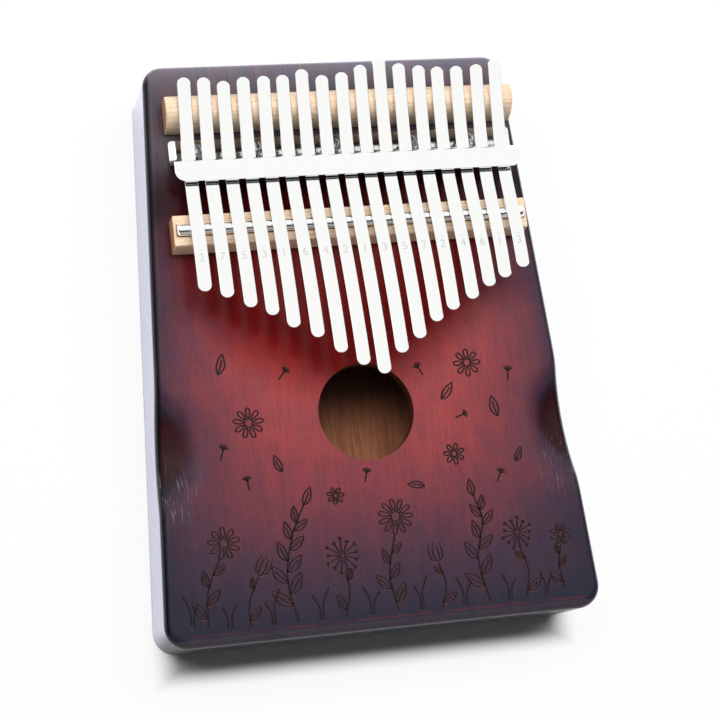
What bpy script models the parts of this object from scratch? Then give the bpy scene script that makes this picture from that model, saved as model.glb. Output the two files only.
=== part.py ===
"""A kalimba with seventeen tines on a hollow wooden body, lying on its back.

Metres, +Z up. +Y runs from the lower end, nearest the player, to the tine tails, and the origin is the
middle of the underside. Places along the body are chained down from its upper end, and heights of what stands
on the soundboard are measured from the soundboard.
"""

import math

import bmesh
import bpy
from mathutils import Matrix, Vector

# Gap that a piece keeps to what it sits on or fits into
SEAT = 0.0003

# Notes of the tines from left to right, in semitones above the middle one, which is the longest and lowest
SEMITONES = (26, 23, 19, 16, 12, 9, 5, 2, 0, 4, 7, 11, 14, 17, 21, 24, 28)
SEMITONES_PER_OCTAVE = 12

# Tines: spring steel strips with round ends
TINE_PITCH = 0.00643
TINE_WIDTH = 0.0043
TINE_THICKNESS = 0.0009
TINE_END_FLAT = 0.0001
# Free length that would ring at the lowest note, and the part of it that lies behind the rod
RINGING_LENGTH = 0.0576
RINGING_BEHIND = 0.0059
# A plucked end levels out: its slope at the tip
TIP_SLOPE = 0.06
# Each tine's tail behind the crest of the rear bridge, as tapped in to tune it
TAILS = (
    0.0086, 0.0084, 0.0071, 0.0081, 0.0082, 0.0083, 0.0099, 0.0078, 0.0085,
    0.0106, 0.0129, 0.0107, 0.0098, 0.0092, 0.0092, 0.0095, 0.0110,
)
# Each tine's lean from the body's length, in degrees, tip to the right
LEANS = (-0.5, -0.2, 0.3, 0.3, -0.1, 0.5, 0.6, 0.6, 0.3, 0.5, 0.55, 0.55, 0.1, 0.65, 0.5, -0.4, -0.2)
# The row, and all that carries it, stands this far right of the body's middle
ROW_SHIFT = 0.0022

# Chain of places, from the body's upper end to its lower end
END_TO_CREST = 0.0167
CREST_TO_SLOTS = 0.0175
SLOTS_TO_ROD = 0.0225
ROD_TO_SOUND_HOLE = 0.0600
SOUND_HOLE_TO_SCOOPS = 0.0073

# Body: one milled block, open at the back, and the panel that closes it
BODY_LENGTH = 0.185
BODY_DEPTH = 0.032
BODY_MARGIN = 0.0062
BODY_FLARE = 0.0216
LOWER_CORNER = 0.008
UPPER_CORNER = 0.006
TOP_FILLET = 0.004
PANEL_THICKNESS = 0.004
PANEL_FILLET = 0.0025
SOUNDBOARD_THICKNESS = 0.005
SIDE_WALL = 0.014
LOWER_WALL = 0.014
CAVITY_CORNER = 0.010
SOUND_HOLE_RADIUS = 0.0155
# Solid wood ahead of the screws, which the cavity stops short of
SCREW_BLOCK = 0.0177

# Hand rests: a scoop over each long edge, cut by an ellipsoid whose centre is above and outside the edge
SCOOP_LENGTH = 0.0368
SCOOP_REACH = 0.0129
SCOOP_DIP = 0.0045
SCOOP_CENTRE_LIFT = 0.0095
SCOOP_CENTRE_OUTSIDE = 0.0011

# Rear bridge: a half-round strip, planed flat at its rear
REAR_BRIDGE_BEYOND_ROW = 0.0037
REAR_BRIDGE_HEIGHT = 0.0083
REAR_BRIDGE_AHEAD = 0.0066
REAR_BRIDGE_BEHIND = 0.0040

# Front bridge, glued a little left of the row's middle, and the rod that lies in its groove
FRONT_BRIDGE_BEYOND_ROW = 0.0043
FRONT_BRIDGE_OFFSET = -0.0009
FRONT_BRIDGE_HEIGHT = 0.0075
FRONT_BRIDGE_AHEAD = 0.0058
FRONT_BRIDGE_BEHIND = 0.0050
FRONT_BRIDGE_DRAFT = 0.0009
FRONT_BRIDGE_ROUND = 0.0006
ROD_RADIUS = 0.0018
ROD_SUNK = 0.0012
ROD_CHAMFER = 0.0003
ROD_SHORT_OF_BRIDGE = 0.0012

# Bracket: one bent sheet with a base flange, a riser with a slot for each tine, and a lip over the tines
BRACKET_BEYOND_ROW = 0.0031
BRACKET_SHEET = 0.0012
BRACKET_HEIGHT = 0.0100
BRACKET_BASE = 0.0072
BRACKET_LIP = 0.0069
BRACKET_LEAN = 0.0018
BRACKET_BEND = 0.0016
BRACKET_LIP_CORNER = 0.0036
BRACKET_BASE_CORNER = 0.0012
SLOT_SIDE_GAP = 0.00035
SLOT_GAP_BELOW = 0.0004
SLOT_GAP_ABOVE = 0.0008
SLOT_LINTEL = 0.00055

# Wood screws: domed heads with a cross recess
SCREW_BETWEEN = (1, 4, 8, 12, 15)
SCREW_TURNS = (20, 62, 8, 35, 74)
SCREW_FROM_BASE_REAR = 0.0036
SCREW_HEAD_RADIUS = 0.00265
SCREW_HEAD_HEIGHT = 0.0018
SCREW_HEAD_RIM = 0.0005
SCREW_SHANK_RADIUS = 0.0014
SCREW_LENGTH = 0.0130
SCREW_POINT = 0.0032
SCREW_RECESS_SPAN = 0.0030
SCREW_RECESS_WIDTH = 0.0007
SCREW_RECESS_DEPTH = 0.0010

# How finely curved forms are drawn
CORNER_STEPS = 6
FILLET_STEPS = 5
CREST_STEPS = 14
SOUND_HOLE_SIDES = 64
SMALL_SIDES = 24
SCOOP_SEGMENTS = 40
SCOOP_RINGS = 24
TINE_STEP = 0.0032
SOLVE_STEPS = 12
WELD = 0.00001
LEVEL = 0.000001
SAME_PLANE = math.radians(0.5)
SHARP = math.radians(30)
# How far a cutter runs past the face it cuts through
PAST = 0.002


# Sizes worked out from the driving ones

TINE_COUNT = len(SEMITONES)
ROW_WIDTH = TINE_PITCH * (TINE_COUNT - 1) + TINE_WIDTH
UPPER_WIDTH = ROW_WIDTH + 2 * BODY_MARGIN
LOWER_WIDTH = UPPER_WIDTH + BODY_FLARE

UPPER_END = BODY_LENGTH / 2
LOWER_END = -BODY_LENGTH / 2
CREST_Y = UPPER_END - END_TO_CREST
SLOT_Y = CREST_Y - CREST_TO_SLOTS
ROD_Y = SLOT_Y - SLOTS_TO_ROD
SOUND_HOLE_Y = ROD_Y - ROD_TO_SOUND_HOLE
SCOOP_Y = SOUND_HOLE_Y - SOUND_HOLE_TO_SCOOPS

# Heights over the soundboard
BASE_MIDDLE = SEAT + BRACKET_SHEET / 2
LIP_MIDDLE = BRACKET_HEIGHT - BRACKET_SHEET / 2
SLOT_TOP = BRACKET_HEIGHT - BRACKET_SHEET - SLOT_LINTEL
SLOT_TINE_HEIGHT = SLOT_TOP - SLOT_GAP_ABOVE - TINE_THICKNESS / 2
SLOT_BOTTOM = SLOT_TINE_HEIGHT - TINE_THICKNESS / 2 - SLOT_GAP_BELOW
ROD_HEIGHT = FRONT_BRIDGE_HEIGHT - ROD_SUNK + ROD_RADIUS
HEAD_SEAT = 2 * SEAT + BRACKET_SHEET

# The riser's centre line leans forward and crosses SLOT_Y at the tines' height
RISER_SHARE = (SLOT_TINE_HEIGHT - BASE_MIDDLE) / (LIP_MIDDLE - BASE_MIDDLE)
RISER_FOOT_Y = SLOT_Y + BRACKET_LEAN * RISER_SHARE
RISER_HEAD_Y = RISER_FOOT_Y - BRACKET_LEAN
BASE_REAR_Y = RISER_FOOT_Y + BRACKET_BASE
LIP_FRONT_Y = RISER_HEAD_Y - BRACKET_LIP
SCREW_Y = BASE_REAR_Y - SCREW_FROM_BASE_REAR
CAVITY_UPPER_Y = SCREW_Y - SCREW_BLOCK
CAVITY_LOWER_Y = LOWER_END + LOWER_WALL


def half_width(y):
    """Half the body's width at this place along it."""
    share = (y - LOWER_END) / BODY_LENGTH
    return (LOWER_WIDTH + (UPPER_WIDTH - LOWER_WIDTH) * share) / 2


def row_x(place):
    """X of a place in the row, where 0 is the leftmost tine and 0.5 the gap to its right."""
    return ROW_SHIFT + TINE_PITCH * (place - (TINE_COUNT - 1) / 2)


def crest_height(ahead):
    """Height of the rear bridge's round top, this far ahead of its crest."""
    return REAR_BRIDGE_HEIGHT * math.sqrt(1 - (ahead / REAR_BRIDGE_AHEAD) ** 2)


def span_slope(rise, span):
    """End slope of a beam held level at one end and lifted by rise at the other."""
    return 1.5 * rise / span


def over_rod():
    """Height of a tine's middle over the rod, and its slope there."""
    slope = 0.0
    for _ in range(SOLVE_STEPS):
        height = ROD_HEIGHT + TINE_THICKNESS / 2 + (ROD_RADIUS + SEAT) * math.hypot(1, slope)
        slope = span_slope(height - SLOT_TINE_HEIGHT, SLOTS_TO_ROD)
    return height, slope


def over_crest():
    """Place ahead of the crest where a tine touches it, the height of its middle there, and its slope."""
    slope = 0.0
    for _ in range(SOLVE_STEPS):
        ahead = REAR_BRIDGE_AHEAD**2 * slope / math.hypot(REAR_BRIDGE_HEIGHT, REAR_BRIDGE_AHEAD * slope)
        height = crest_height(ahead) + TINE_THICKNESS / 2 + SEAT * math.hypot(1, slope)
        slope = span_slope(height - SLOT_TINE_HEIGHT, CREST_TO_SLOTS - ahead)
    return ahead, height, slope


def tine_height(y, reach):
    """Height of a tine's middle over the soundboard at this place. The tine reaches this far past the rod."""
    rod_height, rod_slope = over_rod()
    ahead, crest, tail_slope = over_crest()
    touch_y = CREST_Y - ahead
    if y < ROD_Y:
        out = ROD_Y - y
        return rod_height + rod_slope * out - (rod_slope - TIP_SLOPE) * out**2 / (2 * reach)
    if y < SLOT_Y:
        out = y - ROD_Y
        return rod_height - rod_slope * (out - out**3 / (3 * SLOTS_TO_ROD**2))
    if y < touch_y:
        out = touch_y - y
        return crest - tail_slope * (out - out**3 / (3 * (touch_y - SLOT_Y) ** 2))
    return crest + tail_slope * (y - touch_y)


def tine_reach(index):
    """How far a tine reaches past the rod: a bar's note rises with the inverse square of its length."""
    share = 2 ** (-SEMITONES[index] / (2 * SEMITONES_PER_OCTAVE))
    return RINGING_LENGTH * share - RINGING_BEHIND


# Materials


def material(name, colour, roughness, metallic=0.0):
    made = bpy.data.materials.new(name)
    made.use_nodes = True
    shader = made.node_tree.nodes["Principled BSDF"]
    shader.inputs["Base Color"].default_value = (*colour, 1.0)
    shader.inputs["Roughness"].default_value = roughness
    shader.inputs["Metallic"].default_value = metallic
    return made


def finish(target, surface):
    target.data.materials.clear()
    target.data.materials.append(surface)
    target.data.shade_smooth()
    target.data.set_sharp_from_angle(angle=SHARP)


# Shaping


def corner_arc(before, corner, after, radius):
    """Points of the round that replaces a corner of an outline."""
    back = (Vector(before) - Vector(corner)).normalized()
    onward = (Vector(after) - Vector(corner)).normalized()
    half_angle = back.angle(onward) / 2
    centre = Vector(corner) + (back + onward).normalized() * radius / math.sin(half_angle)
    spoke = Vector(corner) + back * radius / math.tan(half_angle) - centre
    turn = math.copysign(math.pi - 2 * half_angle, -back.x * onward.y + back.y * onward.x)
    return [
        centre + Matrix.Rotation(turn * step / CORNER_STEPS, 2) @ spoke for step in range(CORNER_STEPS + 1)
    ]


def rounded(corners, radii):
    """A closed outline with each corner rounded by its own radius."""
    points = []
    for index, corner in enumerate(corners):
        after = corners[(index + 1) % len(corners)]
        points += corner_arc(corners[index - 1], corner, after, radii[index])
    return points


def body_outline(lower_y, upper_y, inset, lower_radius, upper_radius):
    """The body's tapered plan between two places along it, drawn in from its long sides."""
    lower = half_width(lower_y) - inset
    upper = half_width(upper_y) - inset
    corners = ((-lower, lower_y), (lower, lower_y), (upper, upper_y), (-upper, upper_y))
    return rounded(corners, (lower_radius, lower_radius, upper_radius, upper_radius))


def edit_mesh(mesh, change):
    shape = bmesh.new()
    shape.from_mesh(mesh)
    change(shape)
    shape.to_mesh(mesh)
    shape.free()


def weld(shape):
    bmesh.ops.remove_doubles(shape, verts=shape.verts, dist=WELD)
    bmesh.ops.dissolve_limit(shape, angle_limit=SAME_PLANE, verts=shape.verts, edges=shape.edges)
    bmesh.ops.recalc_face_normals(shape, faces=shape.faces)


def evaluated_copy(source, name, group):
    """The source's evaluated shape as a mesh object in the same place. The source is removed."""
    bpy.context.view_layer.update()
    graph = bpy.context.evaluated_depsgraph_get()
    mesh = bpy.data.meshes.new_from_object(source.evaluated_get(graph))
    mesh.name = name
    made = bpy.data.objects.new(name, mesh)
    made.matrix_world = source.matrix_world.copy()
    group.objects.link(made)
    bpy.data.objects.remove(source)
    return made


def flat_curve(points, half_extent, closed, group):
    curve = bpy.data.curves.new("outline", "CURVE")
    curve.dimensions = "2D"
    curve.fill_mode = "BOTH" if closed else "NONE"
    curve.extrude = half_extent
    spline = curve.splines.new("POLY")
    spline.points.add(len(points) - 1)
    for point, (across, up) in zip(spline.points, points):
        point.co = (across, up, 0, 1)
    spline.use_cyclic_u = closed
    made = bpy.data.objects.new("outline", curve)
    group.objects.link(made)
    return made


def plate(name, outline, low, high, group):
    """A flat piece with this outline in plan, between two heights."""
    curve = flat_curve(outline, (high - low) / 2, True, group)
    curve.location.z = (low + high) / 2
    made = evaluated_copy(curve, name, group)
    edit_mesh(made.data, weld)
    return made


def bar(name, section, length, middle, closed, group):
    """A straight piece along X, centred on middle, with this (Y, Z) section."""
    curve = flat_curve(section, length / 2, closed, group)
    curve.location.x = middle
    curve.rotation_euler = (math.radians(90), 0, math.radians(90))
    made = evaluated_copy(curve, name, group)
    edit_mesh(made.data, weld)
    return made


def rod(name, radius, length, sides, group):
    """A round bar along X where the tines cross it."""

    def build(shape):
        bmesh.ops.create_cone(
            shape, cap_ends=True, segments=sides, radius1=radius, radius2=radius, depth=length
        )
        bmesh.ops.rotate(shape, verts=shape.verts, matrix=Matrix.Rotation(math.radians(90), 3, "Y"))

    made = new_mesh_object(name, build, group)
    made.location = (ROW_SHIFT + FRONT_BRIDGE_OFFSET, ROD_Y, BODY_DEPTH + ROD_HEIGHT)
    return made


def new_mesh_object(name, build, group):
    made = bpy.data.objects.new(name, bpy.data.meshes.new(name))
    group.objects.link(made)
    edit_mesh(made.data, build)
    return made


def post(shape, radius, low, high, x, y, sides):
    """Adds an upright cylinder between two heights."""
    place = Matrix.Translation((x, y, (low + high) / 2))
    bmesh.ops.create_cone(
        shape, cap_ends=True, segments=sides, radius1=radius, radius2=radius, depth=high - low, matrix=place
    )


def block(shape, low, high):
    """Adds a box between two corners."""
    low = Vector(low)
    high = Vector(high)
    place = Matrix.LocRotScale((low + high) / 2, None, high - low)
    bmesh.ops.create_cube(shape, size=1, matrix=place)


def round_level_edges(target, level, radius):
    """Rounds the edges between a piece's flat face at this height and its sides."""

    def change(shape):
        edges = []
        for edge in shape.edges:
            flat = all(abs(vert.co.z - level) < LEVEL for vert in edge.verts)
            if flat and edge.calc_face_angle(0) > SHARP:
                edges.append(edge)
        bmesh.ops.bevel(
            shape, geom=edges, offset=radius, segments=FILLET_STEPS, profile=0.5, affect="EDGES", material=-1
        )

    edit_mesh(target.data, change)


def cut(target, cutter):
    made = target.modifiers.new(cutter.name, "BOOLEAN")
    made.operation = "DIFFERENCE"
    made.object = cutter
    cutter.hide_render = True
    cutter.display_type = "WIRE"


# Body


def back_panel(group):
    outline = body_outline(LOWER_END, UPPER_END, 0, LOWER_CORNER, UPPER_CORNER)
    made = plate("back_panel", outline, 0, PANEL_THICKNESS, group)
    round_level_edges(made, -PANEL_THICKNESS / 2, PANEL_FILLET)
    return made


def body_shell(group, cutters):
    outline = body_outline(LOWER_END, UPPER_END, 0, LOWER_CORNER, UPPER_CORNER)
    low = PANEL_THICKNESS + SEAT
    made = plate("body_shell", outline, low, BODY_DEPTH, group)
    round_level_edges(made, (BODY_DEPTH - low) / 2, TOP_FILLET)
    cut(made, cavity_cutter(low, cutters))
    cut(made, new_mesh_object("sound_hole_cutter", sound_hole_shape, cutters))
    cut(made, new_mesh_object("pilot_hole_cutter", pilot_hole_shape, cutters))
    for side in (-1, 1):
        cut(made, scoop_cutter(side, cutters))
    return made


def cavity_cutter(low, cutters):
    outline = body_outline(CAVITY_LOWER_Y, CAVITY_UPPER_Y, SIDE_WALL, CAVITY_CORNER, CAVITY_CORNER)
    return plate("cavity_cutter", outline, low - PAST, BODY_DEPTH - SOUNDBOARD_THICKNESS, cutters)


def sound_hole_shape(shape):
    low = BODY_DEPTH - SOUNDBOARD_THICKNESS - PAST
    post(shape, SOUND_HOLE_RADIUS, low, BODY_DEPTH + PAST, 0, SOUND_HOLE_Y, SOUND_HOLE_SIDES)


def pilot_hole_shape(shape):
    depth = SCREW_LENGTH - HEAD_SEAT + SEAT
    for place in SCREW_BETWEEN:
        x = row_x(place - 0.5)
        post(shape, SCREW_SHANK_RADIUS + SEAT, BODY_DEPTH - depth, BODY_DEPTH + PAST, x, SCREW_Y, SMALL_SIDES)


def scoop_cutter(side, cutters):
    """The ellipsoid that meets the soundboard's plane in an oval of the scoop's length and reach."""
    half_depth = SCOOP_CENTRE_LIFT + SCOOP_DIP
    share = math.sqrt(1 - (SCOOP_CENTRE_LIFT / half_depth) ** 2)
    half_across = (SCOOP_REACH + SCOOP_CENTRE_OUTSIDE) / share
    half_along = SCOOP_LENGTH / 2 / share

    def build(shape):
        bmesh.ops.create_uvsphere(
            shape,
            u_segments=SCOOP_SEGMENTS,
            v_segments=SCOOP_RINGS,
            radius=1,
            matrix=Matrix.Diagonal((half_across, half_along, half_depth, 1)),
        )

    name = "left_scoop_cutter" if side < 0 else "right_scoop_cutter"
    made = new_mesh_object(name, build, cutters)
    x = side * (half_width(SCOOP_Y) + SCOOP_CENTRE_OUTSIDE)
    made.location = (x, SCOOP_Y, BODY_DEPTH + SCOOP_CENTRE_LIFT)
    return made


# Bridges


def rear_bridge(group):
    """A section with a round top from its front toe, over the crest, to its planed rear face."""
    rear_angle = math.asin(REAR_BRIDGE_BEHIND / REAR_BRIDGE_AHEAD)
    section = []
    for step in range(CREST_STEPS + 1):
        angle = -math.pi / 2 + (rear_angle + math.pi / 2) * step / CREST_STEPS
        y = CREST_Y + REAR_BRIDGE_AHEAD * math.sin(angle)
        section.append((y, BODY_DEPTH + SEAT + (REAR_BRIDGE_HEIGHT - SEAT) * math.cos(angle)))
    section.append((CREST_Y + REAR_BRIDGE_BEHIND, BODY_DEPTH + SEAT))
    length = ROW_WIDTH + 2 * REAR_BRIDGE_BEYOND_ROW
    return bar("rear_bridge", section, length, ROW_SHIFT, True, group)


def front_bridge_length():
    return ROW_WIDTH + 2 * FRONT_BRIDGE_BEYOND_ROW


def rod_length():
    return front_bridge_length() - 2 * ROD_SHORT_OF_BRIDGE


def front_bridge(group, cutters):
    low = BODY_DEPTH + SEAT
    high = BODY_DEPTH + FRONT_BRIDGE_HEIGHT
    front_foot = (ROD_Y - FRONT_BRIDGE_AHEAD, low)
    rear_foot = (ROD_Y + FRONT_BRIDGE_BEHIND, low)
    front_top = (ROD_Y - FRONT_BRIDGE_AHEAD + FRONT_BRIDGE_DRAFT, high)
    rear_top = (ROD_Y + FRONT_BRIDGE_BEHIND, high)
    section = [front_foot, rear_foot]
    section += corner_arc(rear_foot, rear_top, front_top, FRONT_BRIDGE_ROUND)
    section += corner_arc(rear_top, front_top, front_foot, FRONT_BRIDGE_ROUND)
    middle = ROW_SHIFT + FRONT_BRIDGE_OFFSET
    made = bar("front_bridge", section, front_bridge_length(), middle, True, group)
    cut(made, rod("groove_cutter", ROD_RADIUS + SEAT, rod_length() + 2 * SEAT, SMALL_SIDES, cutters))
    return made


def bridge_rod(group):
    made = rod("bridge_rod", ROD_RADIUS, rod_length(), SMALL_SIDES, group)

    def chamfer(shape):
        ends = [edge for edge in shape.edges if edge.calc_face_angle(0) > SHARP]
        bmesh.ops.bevel(
            shape, geom=ends, offset=ROD_CHAMFER, segments=1, profile=0.5, affect="EDGES", material=-1
        )

    edit_mesh(made.data, chamfer)
    return made


# Bracket


def tine_bracket(group, cutters):
    base_rear = (BASE_REAR_Y, BODY_DEPTH + BASE_MIDDLE)
    foot = (RISER_FOOT_Y, BODY_DEPTH + BASE_MIDDLE)
    head = (RISER_HEAD_Y, BODY_DEPTH + LIP_MIDDLE)
    lip_front = (LIP_FRONT_Y, BODY_DEPTH + LIP_MIDDLE)
    section = [base_rear]
    section += corner_arc(base_rear, foot, head, BRACKET_BEND)
    section += corner_arc(foot, head, lip_front, BRACKET_BEND)
    section.append(lip_front)
    length = ROW_WIDTH + 2 * BRACKET_BEYOND_ROW
    made = bar("tine_bracket", section, length, ROW_SHIFT, False, group)
    round_sheet_corners(made.data, BASE_REAR_Y, BRACKET_BASE_CORNER)
    round_sheet_corners(made.data, LIP_FRONT_Y, BRACKET_LIP_CORNER)
    sheet = made.modifiers.new("sheet", "SOLIDIFY")
    sheet.thickness = BRACKET_SHEET
    sheet.offset = 0
    sheet.use_even_offset = True
    cut(made, new_mesh_object("slot_cutter", slot_shape, cutters))
    cut(made, new_mesh_object("screw_hole_cutter", screw_hole_shape, cutters))
    return made


def round_sheet_corners(mesh, y, radius):
    """Rounds the two outer corners of the bent sheet's edge at this place. Its mesh has Y as its first axis."""

    def change(shape):
        corners = [vert for vert in shape.verts if abs(vert.co.x - y) < LEVEL]
        bmesh.ops.bevel(
            shape,
            geom=corners,
            offset=radius,
            segments=CORNER_STEPS,
            profile=0.5,
            affect="VERTICES",
            material=-1,
        )

    edit_mesh(mesh, change)


def slot_shape(shape):
    half = TINE_WIDTH / 2 + SLOT_SIDE_GAP
    for index in range(TINE_COUNT):
        x = row_x(index)
        front = SLOT_Y - BRACKET_LEAN / 2 - BRACKET_SHEET
        rear = SLOT_Y + BRACKET_LEAN / 2 + BRACKET_SHEET
        low = (x - half, front, BODY_DEPTH + SLOT_BOTTOM)
        high = (x + half, rear, BODY_DEPTH + SLOT_TOP)
        block(shape, low, high)


def screw_hole_shape(shape):
    low = BODY_DEPTH + BASE_MIDDLE - BRACKET_SHEET
    high = BODY_DEPTH + BASE_MIDDLE + BRACKET_SHEET
    for place in SCREW_BETWEEN:
        post(shape, SCREW_SHANK_RADIUS + SEAT, low, high, row_x(place - 0.5), SCREW_Y, SMALL_SIDES)


# Screws


def screw_profile():
    """From the top of the domed head, down its outer side, to the point. Zero is the underside of the head."""
    points = []
    for step in range(CORNER_STEPS + 1):
        angle = math.pi / 2 * step / CORNER_STEPS
        dome = (SCREW_HEAD_HEIGHT - SCREW_HEAD_RIM) * math.cos(angle)
        points.append((SCREW_HEAD_RADIUS * math.sin(angle), SCREW_HEAD_RIM + dome))
    points.append((SCREW_HEAD_RADIUS, 0))
    points.append((SCREW_SHANK_RADIUS, 0))
    points.append((SCREW_SHANK_RADIUS, SCREW_POINT - SCREW_LENGTH))
    points.append((0, -SCREW_LENGTH))
    return points


def turned_screw(group):
    """The plain screw, turned about Z."""

    def draw(shape):
        verts = [shape.verts.new((radius, 0, height)) for radius, height in screw_profile()]
        for first, second in zip(verts, verts[1:]):
            shape.edges.new((first, second))

    made = new_mesh_object("turned_screw", draw, group)
    turn = made.modifiers.new("turn", "SCREW")
    turn.steps = SMALL_SIDES
    turn.render_steps = SMALL_SIDES
    turn.use_merge_vertices = True
    turn.merge_threshold = WELD
    return made


def recess_outline():
    """A cross, point by point round its four arms."""
    near = SCREW_RECESS_WIDTH / 2
    far = SCREW_RECESS_SPAN / 2
    arm = ((far, -near), (far, near), (near, near))
    points = []
    for quarter in range(4):
        turn = Matrix.Rotation(math.radians(90) * quarter, 2)
        points += [turn @ Vector(point) for point in arm]
    return points


def screws(group):
    """The screws, which share one mesh. Each is turned as it was left."""
    plain = turned_screw(group)
    top = SCREW_HEAD_HEIGHT
    recess = plate("recess_cutter", recess_outline(), top - SCREW_RECESS_DEPTH, top + PAST, group)
    cut(plain, recess)
    first = evaluated_copy(plain, "screw_1", group)
    bpy.data.objects.remove(recess)
    made = [first]
    for number in range(2, len(SCREW_BETWEEN) + 1):
        copy = bpy.data.objects.new(f"screw_{number}", first.data)
        group.objects.link(copy)
        made.append(copy)
    for screw, place, turn in zip(made, SCREW_BETWEEN, SCREW_TURNS):
        screw.location = (row_x(place - 0.5), SCREW_Y, BODY_DEPTH + HEAD_SEAT)
        screw.rotation_euler.z = math.radians(turn)
    return made


# Tines


def tine(index, group):
    """One tine. Its origin is on its hinge, where its underside crosses the rod."""
    reach = tine_reach(index)
    tail = CREST_Y + TAILS[index] - ROD_Y
    half = TINE_WIDTH / 2
    corners = ((-half, -reach), (half, -reach), (half, tail), (-half, tail))
    outline = rounded(corners, [half - TINE_END_FLAT] * len(corners))
    made = plate(f"tine_{index + 1:02}", outline, -TINE_THICKNESS / 2, TINE_THICKNESS / 2, group)
    hinge_height = over_rod()[0] - TINE_THICKNESS / 2

    def bend(shape):
        stations = math.ceil((reach + tail) / TINE_STEP)
        for station in range(1, stations):
            y = -reach + (reach + tail) * station / stations
            everything = shape.verts[:] + shape.edges[:] + shape.faces[:]
            bmesh.ops.bisect_plane(shape, geom=everything, dist=LEVEL, plane_co=(0, y, 0), plane_no=(0, 1, 0))
        for vert in shape.verts:
            vert.co.z += tine_height(ROD_Y + vert.co.y, reach) - hinge_height

    edit_mesh(made.data, bend)
    lean = math.radians(LEANS[index])
    made.location = (row_x(index) + SLOTS_TO_ROD * math.tan(lean), ROD_Y, BODY_DEPTH + hinge_height)
    made.rotation_euler.z = lean
    return made


def main():
    for old in list(bpy.data.objects):
        bpy.data.objects.remove(old)
    parts = bpy.data.collections.new("kalimba")
    cutters = bpy.data.collections.new("kalimba_cutters")
    bpy.context.scene.collection.children.link(parts)
    bpy.context.scene.collection.children.link(cutters)

    mahogany = material("lacquered_mahogany", (0.16, 0.035, 0.03), 0.3)
    beech = material("bare_beech", (0.71, 0.50, 0.31), 0.6)
    chrome = material("chromed_steel", (0.80, 0.80, 0.81), 0.1, 1.0)

    finish(body_shell(parts, cutters), mahogany)
    finish(back_panel(parts), mahogany)
    finish(rear_bridge(parts), beech)
    finish(front_bridge(parts, cutters), beech)
    finish(bridge_rod(parts), chrome)
    finish(tine_bracket(parts, cutters), chrome)
    for screw in screws(parts):
        finish(screw, chrome)
    for index in range(TINE_COUNT):
        finish(tine(index, parts), chrome)


main()
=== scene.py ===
"""The looks of a kalimba with seventeen tines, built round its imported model.

Metres, +Z up, in the model's own frame: +Y runs from the lower end to the tine tails, and the origin is the
middle of the underside.
"""

import math

import bmesh
import bpy
from bpy.props import FloatProperty, FloatVectorProperty, PointerProperty
from bpy.types import Operator, Panel, PropertyGroup
from mathutils import Matrix, Vector


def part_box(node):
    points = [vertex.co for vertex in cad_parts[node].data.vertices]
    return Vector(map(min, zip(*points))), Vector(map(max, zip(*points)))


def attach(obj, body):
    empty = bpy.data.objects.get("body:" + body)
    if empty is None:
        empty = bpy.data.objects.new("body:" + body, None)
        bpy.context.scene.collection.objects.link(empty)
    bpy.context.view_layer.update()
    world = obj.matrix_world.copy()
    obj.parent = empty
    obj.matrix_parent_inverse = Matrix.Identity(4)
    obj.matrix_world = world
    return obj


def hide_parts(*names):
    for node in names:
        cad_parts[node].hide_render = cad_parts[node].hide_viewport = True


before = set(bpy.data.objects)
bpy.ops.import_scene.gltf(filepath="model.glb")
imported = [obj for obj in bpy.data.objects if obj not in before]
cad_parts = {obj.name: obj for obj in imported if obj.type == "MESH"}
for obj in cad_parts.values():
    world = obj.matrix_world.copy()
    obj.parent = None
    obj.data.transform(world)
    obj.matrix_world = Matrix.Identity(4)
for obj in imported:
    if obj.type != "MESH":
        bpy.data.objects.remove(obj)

bl_info = {
    "name": "Kalimba looks",
    "version": (1, 0, 0),
    "blender": (4, 5, 0),
    "location": "3D View > Sidebar > Kalimba",
    "description": "Builds the lacquered body, bridges, bracket and tines of a kalimba",
    "category": "Object",
}

BODY_LOW, BODY_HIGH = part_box("body_shell")
BRACKET_LOW, BRACKET_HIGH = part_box("tine_bracket")
ROD_LOW, ROD_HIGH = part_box("bridge_rod")
REAR_LOW, REAR_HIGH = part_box("rear_bridge")
FRONT_LOW, FRONT_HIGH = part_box("front_bridge")
PANEL_LOW, PANEL_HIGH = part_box("back_panel")

BOARD = BODY_HIGH.z
ROD_Y = (ROD_LOW.y + ROD_HIGH.y) / 2
ROD_RADIUS = (ROD_HIGH.z - ROD_LOW.z) / 2
MM = 0.001
# Gap between a piece and what carries it, and how far a cutter reaches past what it cuts
SEAT = 0.3 * MM
PAST = 2 * MM
# Closer than this counts as level
LEVEL = 0.01 * MM
# Faces that meet at more than these angles meet at a sharp, or a steep, edge
SHARP = math.radians(30)
STEEP = math.radians(60)
X, Y, Z = range(3)
# Turns what is made about the Z axis onto the X axis
ONTO_X = Matrix.Rotation(math.radians(90), 4, "Y")
# How a range eases in and out
SMOOTH = {"interpolation_type": "SMOOTHSTEP"}

# Within this of a rim or a wall counts as on it
NEAR = 0.1 * MM
# A face whose normal has more than this share of an axis faces along it
FACING = 0.9
# The floor lies this far under the object
FLOOR_GAP = 0.1 * MM
# Half the flat at a tine's round tip, how far a screw head is eased, and the bracket's eased edges
TIP_FLAT = 0.1 * MM
HEAD_EASE = 0.1 * MM
SHEET_EASE = 0.14 * MM
# The slope at a bent bar's end, as a multiple of its drop over its length
END_SLOPE = 1.5

# Straight edges that a round corner or a round rim is made of
CORNER_STEPS = 14
RIM_STEPS = 12
# How far apart the body is sliced round its hand rests and down its walls, and a tine along its length
REST_STEP = 0.8 * MM
WALL_STEP = 0.9 * MM
TINE_STEP = 1.4 * MM
# How often the line of a sprung tine is solved anew
ROUNDS = 12

# Notes of the tines from left to right, in semitones above the middle one
SEMITONES = (26, 23, 19, 16, 12, 9, 5, 2, 0, 4, 7, 11, 14, 17, 21, 24, 28)
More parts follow.
